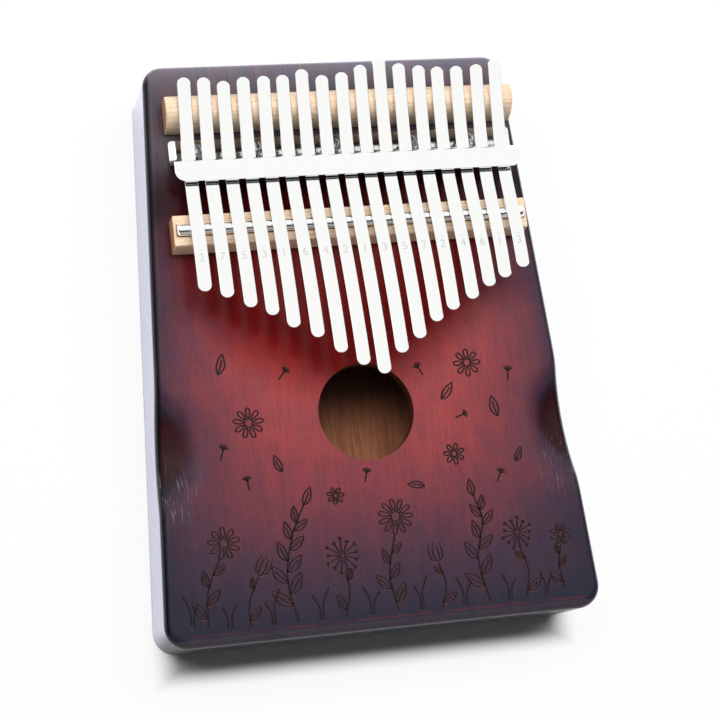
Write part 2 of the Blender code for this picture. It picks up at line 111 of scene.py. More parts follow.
# Plain scale numbers stamped on the tines, and how many octave dots stand over each
MARKS = "27531642135724613"
MARK_DOTS = (2, 1, 1, 1, 1, 0, 0, 0, 0, 0, 0, 0, 1, 1, 1, 2, 2)
DOT_GAP = 0.8 * MM
DOT_RADIUS = 0.22 * MM
# A number's height as a share of its font's size, and how far it lies over the steel
CAPITAL = 0.7
STAMP_LIFT = 0.012 * MM
# Each tine's tail behind the crest of the rear bridge
TAILS = (
    0.0086, 0.0084, 0.0071, 0.0081, 0.0082, 0.0083, 0.0099, 0.0078, 0.0085,
    0.0106, 0.0129, 0.0107, 0.0098, 0.0092, 0.0092, 0.0095, 0.0110,
)
# Each tine's lean from the body's length, in degrees
LEANS = (-0.5, -0.2, 0.3, 0.3, -0.1, 0.5, 0.6, 0.6, 0.3, 0.5, 0.55, 0.55, 0.1, 0.65, 0.5, -0.4, -0.2)
# The screws stand in the gaps after these tines, each turned as it was left, in degrees
SCREW_BETWEEN = (1, 4, 8, 12, 15)
SCREW_TURNS = (20, 62, 8, 35, 74)
# How wide a recess is at its bottom, as a share of its top
RECESS_DRAFT = 0.75
# Where the camera stands, and which ways the right and the top of its picture point
CAMERA_PLACE = (-0.15450, -0.11894, 0.63258)
CAMERA_RIGHT = (0.96694, -0.11577, 0.22722)
CAMERA_UP = (0.07021, 0.97743, 0.19924)


def linear(code):
    """A colour's sRGB hex value as linear red, green and blue."""
    parts = [int(code[place : place + 2], 16) / 255 for place in (1, 3, 5)]
    return tuple(part / 12.92 if part <= 0.04045 else ((part + 0.055) / 1.055) ** 2.4 for part in parts)


def size(name, description, default):
    return FloatProperty(name=name, description=description, default=default, unit="LENGTH", precision=5)


def amount(name, description, default):
    return FloatProperty(name=name, description=description, default=default)


def colour(name, description, code):
    return FloatVectorProperty(
        name=name, description=description, default=linear(code), subtype="COLOR", size=3, min=0, max=1
    )


# Settings


class KalimbaBody(PropertyGroup):
    lower_width: size("Lower width", "Width at the lower end", BODY_HIGH.x - BODY_LOW.x + 0.00099)
    upper_width: size("Upper width", "Width at the end with the tine tails", 0.11958)
    lower_corner: size("Lower corner", "Plan radius of the two lower corners", 0.008)
    upper_corner: size("Upper corner", "Plan radius of the two upper corners", 0.006)
    top_fillet: size("Top fillet", "Radius along the soundboard's rim", 0.0029)
    panel_fillet: size("Panel fillet", "Radius along the back's rim", 0.0025)
    board_thickness: size("Soundboard", "Thickness of the wood over the cavity", 0.005)
    wall: size("Wall", "Thickness of the wood beside and below the cavity", 0.014)
    cavity_corner: size("Cavity corner", "Plan radius of the cavity's corners", 0.010)
    cavity_end: size("Cavity end", "Place along the body where the cavity stops", 0.04549)
    hole_radius: size("Sound hole", "Radius of the sound hole", 0.0155)
    hole_place: size("Sound hole place", "Place of the sound hole along the body", -0.0242)
    hole_round: size("Sound hole edge", "Radius along the sound hole's rim", 0.00035)
    scoop_place: size("Scoop place", "Place of the hand rests along the body", -0.0315)
    scoop_length: size("Scoop length", "Length of a hand rest along the edge", 0.0368)
    scoop_reach: size("Scoop reach", "How far a hand rest reaches in from the edge", 0.0129)
    scoop_dip: size("Scoop dip", "Depth of a hand rest under the soundboard", 0.0045)
    scoop_soft: size("Scoop softness", "How softly a hand rest runs out into the board", 0.0016)
    scoop_lift: size("Scoop centre, height", "Height of a hand rest's hollow centre over the board", 0.0095)
    scoop_outside: size("Scoop centre, outside", "How far a hand rest's hollow centre lies outside", 0.0011)


class KalimbaTines(PropertyGroup):
    pitch: size("Pitch", "Distance between neighbouring tines", 0.00643)
    width: size("Width", "Width of a tine", 0.0043)
    thickness: size("Thickness", "Thickness of a tine", 0.0009)
    edge_round: size("Edge", "Radius along a tine's edges", 0.0002)
    shift: size("Row shift", "How far right of the body's middle the row stands", 0.0022)
    ringing_length: size("Ringing length", "Free length at the lowest note", 0.0576)
    ringing_behind: size("Behind the rod", "Part of the ringing length behind the rod", 0.0059)
    tip_slope: amount("Tip slope", "Slope of a tine at its tip", 0.06)
    slot_height: size("Slot height", "Height of a tine's middle in its slot, over the board", 0.0070)
    slot_place: size("Slot place", "Place of the slots along the body", 0.0583)
    crest_place: size("Crest place", "Place of the rear bridge's crest along the body", 0.0758)
    mark_height: size("Mark height", "Height of a stamped number", 0.0026)
    mark_place: size("Mark place", "How far ahead of the front bridge a number stands", 0.0046)


class KalimbaFittings(PropertyGroup):
    sheet: size("Bracket sheet", "Thickness of the bracket's sheet", 0.0012)
    lean: size("Bracket lean", "How far the riser's top leans forward", 0.0018)
    base: size("Bracket base", "Depth of the base flange behind the riser", 0.0072)
    lip: size("Bracket lip", "Depth of the lip ahead of the riser", 0.0069)
    bend: size("Bracket bend", "Radius of the bends at the sheet's middle", 0.0016)
    lip_corner: size("Lip corner", "Plan radius of the lip's corners", 0.0036)
    base_corner: size("Base corner", "Plan radius of the base's corners", 0.0012)
    slot_gap: size("Slot gap", "Gap beside a tine in its slot", 0.00035)
    slot_low: size("Slot bottom", "Height of the slots' lower edge over the board", 0.00615)
    slot_high: size("Slot top", "Height of the slots' upper edge over the board", 0.00825)
    bridge_round: size("Bridge edge", "Radius along the bridges' edges", 0.0005)
    bridge_draft: size("Bridge draft", "How far the front bridge's face leans back", 0.0009)
    rod_round: size("Rod end", "Radius round the rod's ends", 0.0009)
    screw_place: size("Screw place", "Place of the screws along the body", 0.06319)
    head_radius: size("Screw head", "Radius of a screw's head", 0.00265)
    head_height: size("Head height", "Height of a screw's head", 0.0018)
    head_rim: size("Head rim", "Height of the straight rim under the dome", 0.0005)
    shank_radius: size("Screw shank", "Radius of a screw's shank", 0.0014)
    screw_length: size("Screw length", "Length under the head", 0.0130)
    screw_tip: size("Screw tip", "Length of the screw's pointed end", 0.0032)
    recess_span: size("Recess span", "Span of the cross recess", 0.0030)
    recess_width: size("Recess width", "Width of an arm of the cross", 0.0007)
    recess_depth: size("Recess depth", "Depth of the cross recess", 0.0010)


class KalimbaColours(PropertyGroup):
    lacquer_middle: colour("Lacquer, middle", "Red of the sunburst's middle", "#9d4648")
    lacquer_between: colour("Lacquer, between", "Brown violet where the sunburst fades", "#4c3444")
    lacquer_edge: colour("Lacquer, edge", "Blue black of the sunburst's edge", "#262a38")
    # Painted reflection: this black stands for the dark room mirrored in the long sides' fillets
    lacquer_rim_dark_reflection: colour("Lacquer, rim", "Black of the long sides' fillets", "#0b0a0e")
    # Painted shade: this dark red stands for the shade in the hand rests' hollows
    lacquer_rest_shade: colour("Lacquer, hand rests", "Dark red in the hand rests", "#2e0406")
    # Painted highlight: this pale lavender stands for light on the upper end's fillet
    lacquer_painted_end_highlight: colour("Lacquer, hazed end", "Pale haze on the upper end's fillet", "#9a96a4")
    # Painted shade: this red tint round the bridges stands for the shadow of the tines and bracket
    lacquer_shade_tint: colour("Lacquer, deep", "Tint of the deeper red round the bridges", "#e37371")
    # Painted sheen: this grey stands for light reflected on the upper end and the lower fillet
    lacquer_painted_sheen: colour("Lacquer, slate", "Hazy black behind the bracket and on the lower rim", "#564c54")
    lacquer_worn: colour("Worn lacquer", "Red that shows where the edge is rubbed", "#602830")
    scuff: colour("Scuff", "Pale scratches in the hand rests", "#b39da2")
    bare_mahogany: colour("Bare mahogany", "Wood inside the cavity and the sound hole", "#623624")
    back_inside: colour("Back, inside", "Bare inner face of the back panel", "#a1684b")
    beech_pale: colour("Beech, pale", "Early wood of the bridges", "#f6dfc3")
    beech_tan: colour("Beech, tan", "Late wood and ray flecks of the bridges", "#e6c19e")
    beech_end: colour("Beech, end grain", "End grain of the bridges", "#b07c52")
    chrome: colour("Chrome", "Plated sheet and rod", "#f7f8f8")
    steel: colour("Spring steel", "Polished tines", "#f8f9f7")
    screw_steel: colour("Screw steel", "Plated screw heads", "#c6c8cc")
    stamp: colour("Stamped marks", "Dulled steel in the stamped numbers", "#e2e4e2")
    engraving: colour("Engraved line", "Charred wood in an engraved line", "#150405")
    # Painted highlight: this pale ribbon colour stands for light caught on each engraved groove's lower edge
    engraving_highlight: colour("Engraved edge", "Bare wood along an engraved line's lower side", "#7d4447")


class KalimbaStage(PropertyGroup):
    lens: amount("Lens", "Focal length of the camera, in millimetres", 99.33)
    back_light: amount("Back softbox", "Power of the softbox over the upper end, in watts", 22.0)
    front_light: amount("Front softbox", "Power of the low softbox in front, in watts", 2.0)
    ceiling: amount("Ceiling", "Brightness of the white room around", 0.12)
    mirrored_room: amount("Mirrored room", "Brightness of the room in the gloss", 1.04)
    mirrored_card: amount("Mirrored card", "Brightness of the card in the gloss", 0.9)
    floor_size: size("Floor", "Length of the floor's sides", 6.0)


# Shared by all pieces


def settings():
    return bpy.context.scene


def half_width(y):
    """Half the body's width at this place along it."""
    body = settings().kalimba_body
    share = (y - BODY_LOW.y) / (BODY_HIGH.y - BODY_LOW.y)
    return (body.lower_width + (body.upper_width - body.lower_width) * share) / 2


def row_x(place):
    """X of a place in the row, where 0 is the leftmost tine and 0.5 the gap to its right."""
    tines = settings().kalimba_tines
    return tines.shift + tines.pitch * (place - (len(SEMITONES) - 1) / 2)


def bevel(shape, geom, radius, segments, affect="EDGES"):
    bmesh.ops.bevel(
        shape,
        geom=geom,
        offset=radius,
        segments=segments,
        profile=0.5,
        affect=affect,
        material=-1,
        clamp_overlap=True,
    )


def sharp_edges(shape, test=None, angle=SHARP):
    """Edges whose faces meet at more than this angle, and that pass the test."""
    found = [edge for edge in shape.edges if edge.calc_face_angle(0) > angle]
    return [edge for edge in found if test is None or test(edge)]


def level_with(edge, axis, place):
    return all(abs(vert.co[axis] - place) < LEVEL for vert in edge.verts)


def cut_plane(shape, place, normal, **options):
    """Cuts every face along a plane."""
    everything = shape.verts[:] + shape.edges[:] + shape.faces[:]
    bmesh.ops.bisect_plane(
        shape, geom=everything, dist=LEVEL / 10, plane_co=place, plane_no=normal, **options
    )


def slice_at(shape, axis, places):
    """Cuts every face along planes at these places."""
    normal = Vector((0, 0, 0))
    normal[axis] = 1
    for place in places:
        cut_plane(shape, normal * place, normal)


def flat_face(shape, corners, height):
    """The corners of a new level face."""
    verts = [shape.verts.new((x, y, height)) for x, y in corners]
    shape.faces.new(verts)
    return verts


def open_line(shape, points):
    """New vertices at these points, and the edges between them."""
    verts = [shape.verts.new(point) for point in points]
    return verts, [shape.edges.new(pair) for pair in zip(verts, verts[1:])]


def span(low, high, step):
    """Evenly spaced places between two ends, no further apart than this step."""
    count = max(1, math.ceil((high - low) / step))
    return [low + (high - low) * place / count for place in range(count + 1)]


def raise_face(shape, direction):
    """Gives flat faces a thickness."""
    made = bmesh.ops.extrude_face_region(shape, geom=shape.faces[:])
    moved = [item for item in made["geom"] if isinstance(item, bmesh.types.BMVert)]
    bmesh.ops.translate(shape, verts=moved, vec=direction)
    bmesh.ops.recalc_face_normals(shape, faces=shape.faces)


def mesh_of(build):
    shape = bmesh.new()
    build(shape)
    mesh = bpy.data.meshes.new("scratch")
    shape.to_mesh(mesh)
    shape.free()
    return mesh


def new_object(name, mesh):
    made = bpy.data.objects.new(name, mesh)
    bpy.context.scene.collection.objects.link(made)
    return made


def finished_mesh(made):
    """The mesh that an object's modifiers, text or curve come to."""
    bpy.context.view_layer.update()
    return bpy.data.meshes.new_from_object(made.evaluated_get(bpy.context.evaluated_depsgraph_get()))


def curve_mesh(curve):
    """A curve's or a text's mesh."""
    holder = new_object("scratch", curve)
    mesh = finished_mesh(holder)
    bpy.data.objects.remove(holder)
    return mesh


def carve(made, *cutters):
    """Cuts these shapes out of an object."""
    for build in cutters:
        cutter = new_object("cutter", mesh_of(build))
        cut = made.modifiers.new("cut", "BOOLEAN")
        cut.operation = "DIFFERENCE"
        cut.solver = "EXACT"
        cut.object = cutter
        mesh = finished_mesh(made)
        made.modifiers.clear()
        made.data = mesh
        bpy.data.objects.remove(cutter)
        if not mesh.polygons:
            raise RuntimeError(f"the cut left nothing of {made.name}")


def reshape(made, change):
    shape = bmesh.new()
    shape.from_mesh(made.data)
    change(shape)
    shape.to_mesh(made.data)
    shape.free()


def dress(made, materials, body="base", nodes=(), smooth=True):
    """Gives a finished piece its materials, its shading and its place in the model."""
    for name in materials:
        made.data.materials.append(material(name))
    if smooth:
        made.data.shade_smooth()
        made.data.set_sharp_from_angle(angle=SHARP)
        even = made.modifiers.new("even_shading", "WEIGHTED_NORMAL")
        even.keep_sharp = True
    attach(made, body)
    if nodes:
        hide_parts(*nodes)


def post(shape, radius, low, high, x, y, sides):
    place = Matrix.Translation((x, y, (low + high) / 2))
    bmesh.ops.create_cone(
        shape, cap_ends=True, segments=sides, radius1=radius, radius2=radius, depth=high - low, matrix=place
    )


def block(shape, low, high):
    place = Matrix.LocRotScale((Vector(low) + Vector(high)) / 2, None, Vector(high) - Vector(low))
    bmesh.ops.create_cube(shape, size=1, matrix=place)


# Materials


def fill(made, inputs):
    """Gives a node's inputs their values, or links them to sockets and to other nodes' first outputs."""
    for key, value in inputs.items():
        if isinstance(value, bpy.types.Node):
            value = value.outputs[0]
        if isinstance(value, bpy.types.NodeSocket):
            made.id_data.links.new(value, made.inputs[key])
        else:
            made.inputs[key].default_value = value


def node(tree, kind, inputs=None, stops=None, **options):
    """Adds a node with its options, its ramp's stops, and what its inputs hold or are linked to."""
    made = tree.nodes.new(kind)
    for name, value in options.items():
        setattr(made, name, value)
    for index, (place, shade) in enumerate(stops or ()):
        elements = made.color_ramp.elements
        element = elements[index] if index < 2 else elements.new(place)
        element.position = place
        element.color = (*shade, 1)
    fill(made, inputs or {})
    return made


def start_material(name):
    """A new material's tree, its shader, and its object coordinates."""
    made = bpy.data.materials.new(name)
    made.use_nodes = True
    tree = made.node_tree
    place = node(tree, "ShaderNodeTexCoord").outputs["Object"]
    return tree, tree.nodes["Principled BSDF"], place


def grey(value):
    return (value, value, value)


def coats(tree, under, layers):
    """Lays colours over one another, each by the product of its shares."""
    for shares, shade in layers:
        share = shares[0]
        for other in shares[1:]:
            share = node(tree, "ShaderNodeMath", {0: share, 1: other}, operation="MULTIPLY")
        layer = {0: share, 6: under.outputs[2], 7: (*shade, 1)}
        under = node(tree, "ShaderNodeMix", layer, data_type="RGBA")
    return under


def sunburst_lacquer(name):
    """Mahogany stained red, sprayed blue black towards the edges and clear coated: the grain shows through a
    hard gloss in the middle and drowns in black at the rim, rubbed back to red along the lower end. Painted
    shade darkens it round and behind the bridges and in the hand rests; a painted grey sheen lies on the
    upper end and the lower fillet, a painted highlight on the upper end's fillet and a painted dark
    reflection on the long sides' fillets."""
    shades = settings().kalimba_colours
    body = settings().kalimba_body
    tree, shader, place = start_material(name)
    x, y = node(tree, "ShaderNodeSeparateXYZ", {0: place}).outputs[:2]

    # Distance in from the long sides, which taper, from the lower end, and along from the hand rests' middle
    taper = (body.upper_width - body.lower_width) / 2 / (BODY_HIGH.y - BODY_LOW.y)
    middle = (body.lower_width + body.upper_width) / 4
    edge = node(tree, "ShaderNodeMath", {0: y, 1: taper, 2: middle}, operation="MULTIPLY_ADD")
    across = node(tree, "ShaderNodeMath", {0: x}, operation="ABSOLUTE")
    inside = node(tree, "ShaderNodeMath", {0: edge, 1: across}, operation="SUBTRACT")
    lower_in = node(tree, "ShaderNodeMath", {0: y, 1: BODY_LOW.y}, operation="SUBTRACT")
    from_rest = node(tree, "ShaderNodeMath", {0: y, 1: body.scoop_place}, operation="SUBTRACT")
    from_rest = node(tree, "ShaderNodeMath", {0: from_rest}, operation="ABSOLUTE")
    # 1 on the board and its fillets, and 0 on the walls
    normal = node(tree, "ShaderNodeNewGeometry").outputs["Normal"]
    upward = node(tree, "ShaderNodeSeparateXYZ", {0: normal}).outputs[2]
    on_board = node(tree, "ShaderNodeMapRange", {0: upward, 1: 0.05, 2: 0.35}, **SMOOTH)

    # The spray fades in over 36 mm from the sides, quickly at first, and over 62 mm from the lower end.
    # It runs 6 mm further in round the hand rests, as painted shade in their hollows
    rest_shade_reach = {0: from_rest, 1: 6 * MM, 2: 19 * MM, 3: 6 * MM, 4: 0.0}
    rest_shade_reach = node(tree, "ShaderNodeMapRange", rest_shade_reach, **SMOOTH)
    side = node(tree, "ShaderNodeMath", {0: inside, 1: rest_shade_reach}, operation="SUBTRACT")
    side = node(tree, "ShaderNodeMapRange", {0: side, 2: 36 * MM})
    side = node(tree, "ShaderNodeMath", {0: side, 1: 0.47}, operation="POWER")
    lower = node(tree, "ShaderNodeMapRange", {0: lower_in, 1: 2 * MM, 2: 64 * MM})
    fade = node(tree, "ShaderNodeMath", {0: side, 1: lower}, operation="MULTIPLY")
    fade = node(tree, "ShaderNodeMath", {0: fade, 1: on_board}, operation="MULTIPLY")
    # Cloudy spray, 18 mm across
    cloud = node(tree, "ShaderNodeTexNoise", {"Vector": place, "Scale": 1 / (18 * MM), "Detail": 3.0})
    cloud = node(tree, "ShaderNodeMapRange", {0: cloud, 3: -0.09, 4: 0.09})
    drift = node(tree, "ShaderNodeMath", {0: fade, 1: cloud}, operation="ADD")
    spray = ((0.0, shades.lacquer_edge), (1.0, shades.lacquer_middle), (0.32, shades.lacquer_between))
    burst = node(tree, "ShaderNodeValToRGB", {0: drift}, stops=spray)
    # Painted shade of the tines and bracket: a deeper red lies round the bridges and fades 42 to 60 mm from
    # its middle
    heart = (-6 * MM, FRONT_LOW.y + 6 * MM, BOARD)
    off_heart = node(tree, "ShaderNodeVectorMath", {0: place, 1: heart}, operation="DISTANCE")
    deep = {0: off_heart.outputs["Value"], 1: 42 * MM, 2: 60 * MM, 3: 1.0, 4: 0.0}
    deep = node(tree, "ShaderNodeMapRange", deep, **SMOOTH)
    stain = {0: deep, 6: burst, 7: (*shades.lacquer_shade_tint, 1)}
    coat = node(tree, "ShaderNodeMix", stain, data_type="RGBA", blend_type="MULTIPLY")

    # Painted shade under the tines and bracket: behind the front bridge the lacquer is darker still
    behind = {0: y, 1: FRONT_HIGH.y - 6 * MM, 2: FRONT_HIGH.y + 3 * MM, 3: 0.0, 4: 0.68}
    behind = node(tree, "ShaderNodeMapRange", behind, **SMOOTH)
    # A painted grey sheen, standing for reflected light, covers the upper end and the fillet of the lower one
    upper_sheen = {0: y, 1: BRACKET_LOW.y - 2 * MM, 2: BRACKET_HIGH.y}
    upper_sheen = node(tree, "ShaderNodeMapRange", upper_sheen, **SMOOTH)
    fillet = body.top_fillet
    lower_sheen = {0: lower_in, 1: fillet - 0.8 * MM, 2: fillet, 3: 0.6, 4: 0.0}
    lower_sheen = node(tree, "ShaderNodeMapRange", lower_sheen)
    painted_sheen = node(tree, "ShaderNodeMath", {0: upper_sheen, 1: lower_sheen}, operation="MAXIMUM")
    # Painted shade in the hollows: the hand rests are a darker red inside their outline, half an ellipse
    # about the edge
    rest_along = node(tree, "ShaderNodeMath", {0: from_rest, 1: 14 * MM}, operation="DIVIDE")
    rest_across = node(tree, "ShaderNodeMath", {0: inside, 1: 12 * MM}, operation="DIVIDE")
    outward = node(tree, "ShaderNodeCombineXYZ", {0: rest_along, 1: rest_across})
    outward = node(tree, "ShaderNodeVectorMath", {0: outward}, operation="LENGTH").outputs["Value"]
    rest_shade = node(tree, "ShaderNodeMapRange", {0: outward, 1: 0.6, 2: 1.05, 3: 0.9, 4: 0.0}, **SMOOTH)
    # A pale highlight is painted over the upper end's last 12 mm, and a dark reflection is painted black on
    # the long sides' fillets
    end_highlight = {0: y, 1: BODY_HIGH.y - 12 * MM, 2: BODY_HIGH.y - 1 * MM, 3: 0.0, 4: 0.7}
    end_highlight = node(tree, "ShaderNodeMapRange", end_highlight)
    end_highlight = node(tree, "ShaderNodeMath", {0: end_highlight, 1: 2.0}, operation="POWER")
    rim = node(tree, "ShaderNodeMapRange", {0: inside, 1: 0.9 * MM, 2: 2.2 * MM, 3: 0.92, 4: 0.0}, **SMOOTH)
    layers = (
        ((behind, on_board), (0, 0, 0)),
        ((painted_sheen, on_board), shades.lacquer_painted_sheen),
        ((rest_shade, on_board), shades.lacquer_rest_shade),
        ((end_highlight, on_board), shades.lacquer_painted_end_highlight),
        ((rim, on_board), shades.lacquer_rim_dark_reflection),
    )
    coat = coats(tree, coat, layers)

    # Figure, pores, blotches where the stain went in unevenly, and scuffs, each with its width, its length
    # along the grain and its depth in millimetres
    noises = []
    for sizes, detail in (((0.7, 26, 6), 4.0), ((0.22, 6, 1), 1.0), ((5, 11, 8), 5.0), ((0.35, 5, 5), 2.0)):
        stretched = node(tree, "ShaderNodeMapping", {0: place, 3: [1 / (part * MM) for part in sizes]})
        noises.append(node(tree, "ShaderNodeTexNoise", {0: stretched, "Scale": 1.0, "Detail": detail}))
    figure, pores, blotches, scuffs = noises
    light = node(tree, "ShaderNodeValToRGB", {0: figure}, stops=((0.3, grey(0.86)), (0.7, grey(1.0))))
    pore_depth = node(tree, "ShaderNodeValToRGB", {0: pores}, stops=((0.58, grey(1.0)), (0.74, grey(0.68))))
    uneven = ((0.30, (0.80, 0.90, 0.98)), (0.70, (1.12, 0.98, 0.90)))
    blotch = node(tree, "ShaderNodeValToRGB", {0: blotches}, stops=uneven)
    for tone in (light, blotch, pore_depth):
        layer = {0: 1.0, 6: coat.outputs[2], 7: tone}
        coat = node(tree, "ShaderNodeMix", layer, data_type="RGBA", blend_type="MULTIPLY")

    # Thin rubbed line where the flat board meets the fillet, along the lower end
    off_line = node(tree, "ShaderNodeMath", {0: lower_in, 1: fillet + 0.5 * MM}, operation="SUBTRACT")
    off_line = node(tree, "ShaderNodeMath", {0: off_line}, operation="ABSOLUTE")
    line = node(tree, "ShaderNodeMapRange", {0: off_line, 1: 0.1 * MM, 2: 0.5 * MM, 3: 1.0, 4: 0.0}, **SMOOTH)
    corner = body.lower_corner
    low_only = node(tree, "ShaderNodeMapRange", {0: inside, 1: corner / 2, 2: corner}, **SMOOTH)
    rub = node(tree, "ShaderNodeTexNoise", {"Vector": place, "Scale": 1 / (5 * MM), "Detail": 3.0})
    rubbed = node(tree, "ShaderNodeMapRange", {0: rub, 1: 0.38, 2: 0.62, 3: 0.05, 4: 0.65})
    # Pale scuffs in the lower half of the hand rests
    scuff = node(tree, "ShaderNodeMapRange", {0: scuffs, 1: 0.60, 2: 0.76, 3: 0.0, 4: 0.4})
    near_edge = node(tree, "ShaderNodeMapRange", {0: inside, 1: 8 * MM, 2: 15 * MM, 3: 1.0, 4: 0.0}, **SMOOTH)
    along = node(tree, "ShaderNodeMath", {0: y, 1: -body.scoop_place + 14 * MM}, operation="ADD")
    along = node(tree, "ShaderNodeMath", {0: along}, operation="ABSOLUTE")
    near_scoop = node(tree, "ShaderNodeMapRange", {0: along, 1: 4 * MM, 2: 14 * MM, 3: 1.0, 4: 0.0}, **SMOOTH)
    layers = (
        ((line, low_only, rubbed), shades.lacquer_worn),
        ((scuff, near_edge, near_scoop, on_board), shades.scuff),
    )
    coat = coats(tree, coat, layers)

    # The clear coat is smooth but for the pores that it didn't fill and a faint peel, 2.5 mm across
    gloss = node(tree, "ShaderNodeMapRange", {0: figure, 3: 0.28, 4: 0.40})
    sunk = node(tree, "ShaderNodeBump", {"Strength": 0.12, "Distance": 0.03 * MM, "Height": pore_depth})
    peel = node(tree, "ShaderNodeTexNoise", {"Vector": place, "Scale": 1 / (2.5 * MM), "Detail": 2.0})
    relief = {"Strength": 0.08, "Distance": 0.02 * MM, "Height": peel, "Normal": sunk}
    relief = node(tree, "ShaderNodeBump", relief)
    fill(shader, {"Base Color": coat.outputs[2], "Roughness": gloss, "IOR": 1.1, "Normal": relief})
    fill(shader, {"Coat Weight": 1.0, "Coat IOR": 1.22, "Coat Roughness": 0.2})


def bare_wood(name, shade, rings, flecks, rough, along=Y, late=1.0, late_shade=None):
    """Planed, unfinished wood: dull, with growth rings and short dark ray flecks along one axis. Their sizes
    are given in millimetres, across and along the grain."""
    shades = settings().kalimba_colours
    tree, shader, place = start_material(name)
    late_wood = [part * late for part in getattr(shades, late_shade or shade)]
    noises = []
    for sizes, detail in ((rings, 3.0), (flecks, 1.0)):
        scale = [1 / (sizes[0] * MM)] * 3
        scale[along] = 1 / (sizes[1] * MM)
        stretched = node(tree, "ShaderNodeMapping", {0: place, 3: scale})
        noises.append(node(tree, "ShaderNodeTexNoise", {0: stretched, "Scale": 1.0, "Detail": detail}))
    ring, fleck = noises
    years = ((0.32, late_wood), (0.62, getattr(shades, shade)))
    grain = node(tree, "ShaderNodeValToRGB", {0: ring}, stops=years)
    dark = node(tree, "ShaderNodeValToRGB", {0: fleck}, stops=((0.60, grey(1.0)), (0.74, grey(0.62))))
    both = {0: 1.0, 6: grain, 7: dark}
    flecked = node(tree, "ShaderNodeMix", both, data_type="RGBA", blend_type="MULTIPLY")
    dull = node(tree, "ShaderNodeMapRange", {0: ring, 3: rough, 4: rough + 0.15})
    lift = node(tree, "ShaderNodeBump", {"Strength": 0.5, "Distance": 0.04 * MM, "Height": dark})
    fill(shader, {"Base Color": flecked.outputs[2], "Roughness": dull, "Normal": lift})


def polished_metal(name, shade, streaks, rough, dulling, lift):
    """Polished or plated steel: mirror bright, with fine polishing streaks whose size is given in millimetres
    along X, Y and Z."""
    bright = getattr(settings().kalimba_colours, shade)
    tree, shader, place = start_material(name)
    stretched = node(tree, "ShaderNodeMapping", {0: place, 3: [1 / (part * MM) for part in streaks]})
    streak = node(tree, "ShaderNodeTexNoise", {0: stretched, "Scale": 1.0, "Detail": 3.0})
    dulled = ((0.3, [part * dulling for part in bright]), (0.6, bright))
    tone = node(tree, "ShaderNodeValToRGB", {0: streak}, stops=dulled)
    sheen = node(tree, "ShaderNodeMapRange", {0: streak, 3: rough * 0.7, 4: rough * 1.4})
    relief = node(tree, "ShaderNodeBump", {"Strength": 0.3, "Distance": lift * MM, "Height": streak})
    fill(shader, {"Base Color": tone, "Metallic": 1.0, "Roughness": sheen, "Normal": relief})


def engraved_wood(name, shade, rough):
    """Wood burnt by a laser: matt, with soot of uneven depth. It also colours the pale painted highlight
    along a line's lower side.
    """
    burnt = getattr(settings().kalimba_colours, shade)
    tree, shader, place = start_material(name)
    soot = node(tree, "ShaderNodeTexNoise", {"Vector": place, "Scale": 1 / (1.2 * MM), "Detail": 3.0})
    uneven = ((0.3, [part * 0.7 for part in burnt]), (0.7, [min(1, part * 1.25) for part in burnt]))
    tone = node(tree, "ShaderNodeValToRGB", {0: soot}, stops=uneven)
    matt = node(tree, "ShaderNodeMapRange", {0: soot, 3: rough - 0.1, 4: rough + 0.1})
    fill(shader, {"Base Color": tone, "Roughness": matt})


